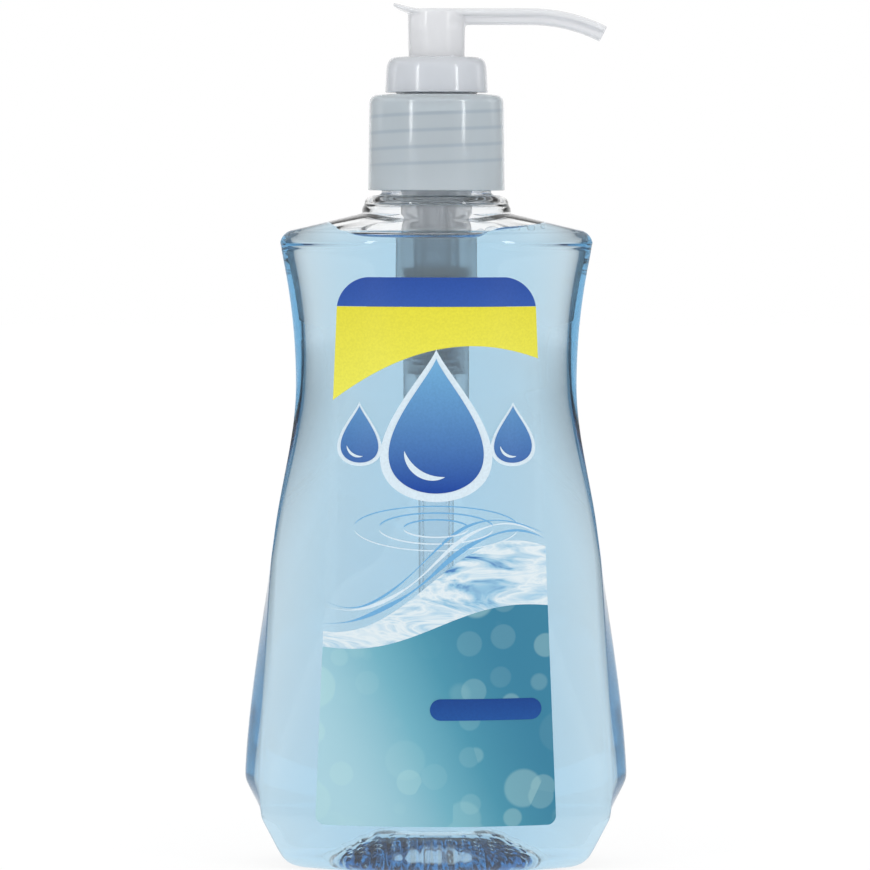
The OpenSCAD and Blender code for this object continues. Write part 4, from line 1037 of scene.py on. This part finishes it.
def arc_band(across, level, wide, high, start, end, thick, count=48):
    """A band along an arc of an ellipse, from start to end in degrees, that thins to both ends."""
    s, v = np.meshgrid(np.linspace(0, 1, count), np.linspace(-1, 1, 5))
    a = np.radians(start + (end - start) * s)
    half = thick / 2 * np.sin(np.pi * np.clip(s, 0.01, 0.99)) ** 0.7 * v
    return across + (wide - half) * np.cos(a), level + (high - half * high / wide) * np.sin(a)


printed_drop("water_drop", 0, DROP_W, DROP_H, drop_z, "label_water_drop")
printed_drop("left_drop", -15.4, 7.6, 11.4, drop_z + 6.0)
printed_drop("right_drop", 15.4, 7.6, 11.4, drop_z + 6.0)
ripple_ink = ink("ripple ink", (112, 172, 216))
for k, (wide, thick) in enumerate(((6.5, 1.1), (11.5, 1.0), (16.5, 0.8))):
    for half, start, tone in (("front", 180, rim_ink), ("back", 0, ripple_ink)):
        x, z = arc_band(0, drop_z - 7.0, wide, wide * 0.27, start + 8, start + 172, thick)
        ride(printed("ripple_%s_%d" % (half, k), x, z, ink_gap, INK_T), "bottle", "ink_drop", tone)
for k, (lift, sway, thick, tone) in enumerate(((1.0, 1.1, 0.9, ripple_ink), (3.0, 2.0, 0.7, rim_ink),
                                               (5.6, 3.2, 0.5, ripple_ink))):
    def ribbon_foot(f):
        """Lower edge of the ribbon."""
        return wave_edge(f) + lift + sway * np.sin(np.radians(150 * f + 70 * k)) * f

    def ribbon_head(f):
        """Upper edge of the ribbon, which thins to both ends."""
        return ribbon_foot(f) + thick * np.maximum(1 - f * f, 0.02) * (1 + 0.5 * np.sin(9 * f))

    ribbon = full_width("ribbon_%d" % k, ribbon_foot, ribbon_head, ink_gap, columns=96, rows=4)
    ride(ribbon, "bottle", "ink_wave", tone)
f, v = grid(24, 24)
h = -np.cos(np.pi * v)
PILL_X, PILL_HALF, PILL_R = 10, 11.2, 2.15
x = PILL_X + f * (PILL_HALF - PILL_R + PILL_R * np.sqrt(np.maximum(1 - h * h, 0.0001)))
z = low_mm("label_blue_pill")[2] + PILL_R * (1 + h)
ride(printed("blue_pill", x, z, top_gap, INK_T), "bottle", "ink_pill", pill_ink, "label_blue_pill")

ride(make_closure(), "closure", "frosted", frosted, "closure")
ride(make_lock_ring(), "pump", "milky", milky, "lock_ring")
ride(make_cylinder(), "pump", "milky", sunk, "pump_cylinder")
ride(make_tube(), "pump", "tube", tubing, "dip_tube")
ride(make_head(), "head", "milky", pressed, "pump_head")
spring, spring_foot, spring_head = make_spring()
spring.data.materials.append(steel)
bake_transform(spring)
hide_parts("return_spring")
for node, finish, slot in (("neck_gasket", foam, "foam"), ("ball_cage", sunk, "milky"),
                           ("inlet_ball", glass_ball, "ball"), ("piston", white_piston, "piston"),
                           ("piston_seat", inner, "milky"), ("stem", inner, "milky")):
    piece = nodes[node]
    piece.data.materials.clear()
    piece.data.materials.append(finish)


# Camera, floor and light

scene = bpy.context.scene
scene.view_settings.view_transform = "Standard"
scene.cycles.max_bounces = 24
scene.cycles.transmission_bounces = 24
scene.cycles.glossy_bounces = 8
scene.cycles.diffuse_bounces = 4
scene.cycles.transparent_max_bounces = 24
scene.cycles.volume_bounces = 0

# the camera's distance and height, the height it is aimed at, and the width it sees at a distance of one
CAMERA_Y, CAMERA_Z, AIM_Z, VIEW_SPAN, SENSOR = 0.9988, 0.137, 0.0874, 0.17705, 36
camera = bpy.data.objects.new("camera", bpy.data.cameras.new("camera"))
scene.collection.objects.link(camera)
scene.camera = camera
camera.data.sensor_width = SENSOR
camera.data.lens = SENSOR / VIEW_SPAN
camera.data.clip_end = 50
camera.location = (0.0, -CAMERA_Y, CAMERA_Z)
camera.rotation_euler = (math.pi / 2 - math.atan2(CAMERA_Z - AIM_Z, CAMERA_Y), math.radians(-0.06),
                         math.radians(0.017))


# brightness of the floor near the bottle, over the squared cosine of the direction from straight ahead
CLOSE_FLOOR = ((0.0, 0.25), (0.5, 0.45), (0.75, 0.7), (0.895, 0.96))
GLOW_SHARE = 0.86


def studio_floor():
    """A plain pale floor: seen directly, in gloss or through clear plastic it glows towards white, and it
    keeps part of the object's shadow. Through the plastic it glows less to the sides than straight ahead."""
    made, tree, bsdf = material("studio floor")
    put(bsdf, Base_Color=(0.93, 0.94, 0.95, 1), Roughness=0.9, Specular_IOR_Level=0.0)
    path = tree.nodes.new("ShaderNodeLightPath").outputs
    seen = math_node(tree, "MAXIMUM", path["Is Camera Ray"], path["Is Glossy Ray"])
    seen = math_node(tree, "MAXIMUM", seen, path["Is Transmission Ray"])
    seen = math_node(tree, "MULTIPLY", seen, math_node(tree, "LESS_THAN", path["Diffuse Depth"], 0.5))
    ahead, square = ahead_of(tree, split(tree, object_coords(tree)))
    reach = math_node(tree, "SQRT", square)
    close = ramp(tree, ahead, [(place, (tone,) * 3) for place, tone in CLOSE_FLOOR])
    studio = between(tree, ranged(tree, reach, 1.0, 3.6), close, ranged(tree, ahead, 0.1, 0.7, 0.4, 1.02))
    studio = between(tree, ranged(tree, reach, 0.05, 0.2, 1.0, 0.0), studio, 1.0)
    level = between(tree, path["Is Camera Ray"], studio, 1.03)
    glow = add(tree, "ShaderNodeEmission", {"Strength": level}, Color=(1, 1, 1, 1))
    blend = add(tree, "ShaderNodeMixShader", {"Fac": math_node(tree, "MULTIPLY", seen, GLOW_SHARE)})
    tree.links.new(bsdf.outputs["BSDF"], blend.inputs[1])
    tree.links.new(glow.outputs["Emission"], blend.inputs[2])
    tree.links.new(blend.outputs["Shader"], tree.nodes["Material Output"].inputs["Surface"])
    return made


floor = mesh_object("floor", [(-4000, -4000, 0), (4000, -4000, 0), (4000, 4000, 0), (-4000, 4000, 0)],
                    [(0, 1, 2, 3)])
floor.data.materials.append(studio_floor())

EVEN_LIGHT = 0.9
world = bpy.data.worlds.new("studio")
scene.world = world
world.use_nodes = True
tree = world.node_tree
backdrop = tree.nodes["Background"]
path = tree.nodes.new("ShaderNodeLightPath").outputs
# through clear plastic the studio is white in front and behind and dims to the sides; in gloss only the
# backdrop is white and the camera's side is dim; light that has met a rough surface sees it evenly lit
axes = split(tree, tree.nodes.new("ShaderNodeTexCoord").outputs["Generated"])
overhead = ranged(tree, axes["Z"], 0.3, 0.7, smooth=True)
through = ranged(tree, ahead_of(tree, axes)[0], 0.1, 0.7, 0.4, 1.0)
through = between(tree, overhead, through, 1.0)
gloss = between(tree, overhead, ranged(tree, axes["Y"], 0.7, 0.98, 0.2, 1.0, smooth=True), EVEN_LIGHT)
level = between(tree, path["Is Glossy Ray"], EVEN_LIGHT, gloss)
level = between(tree, path["Is Transmission Ray"], level, through)
level = between(tree, math_node(tree, "GREATER_THAN", path["Diffuse Depth"], 0.5), level, EVEN_LIGHT)
level = between(tree, path["Is Camera Ray"], level, 1.0)
put(backdrop, Color=(1, 1, 1, 1))
tree.links.new(level, backdrop.inputs["Strength"])


def soft_light(name, azimuth, distance, height, size, power):
    """A tall soft light that stands at an azimuth in degrees, 0 at the camera and growing to its right."""
    lamp = bpy.data.lights.new(name, "AREA")
    lamp.shape = "RECTANGLE"
    lamp.size, lamp.size_y = size
    lamp.energy = power
    holder = bpy.data.objects.new(name, lamp)
    scene.collection.objects.link(holder)
    holder.visible_transmission = False
    a = math.radians(azimuth)
    holder.location = (distance * math.sin(a), -distance * math.cos(a), height)
    holder.rotation_euler = (math.pi / 2 - math.atan2(height - 0.1, distance), 0, a)


soft_light("left_light", -44, 1.3, 0.48, (0.13, 0.56), 1.9)
soft_light("right_light", 47, 1.3, 0.48, (0.13, 0.56), 1.9)
soft_light("left_side_light", -112, 1.2, 0.5, (0.25, 0.6), 0.4)
soft_light("right_side_light", 112, 1.2, 0.5, (0.25, 0.6), 0.4)
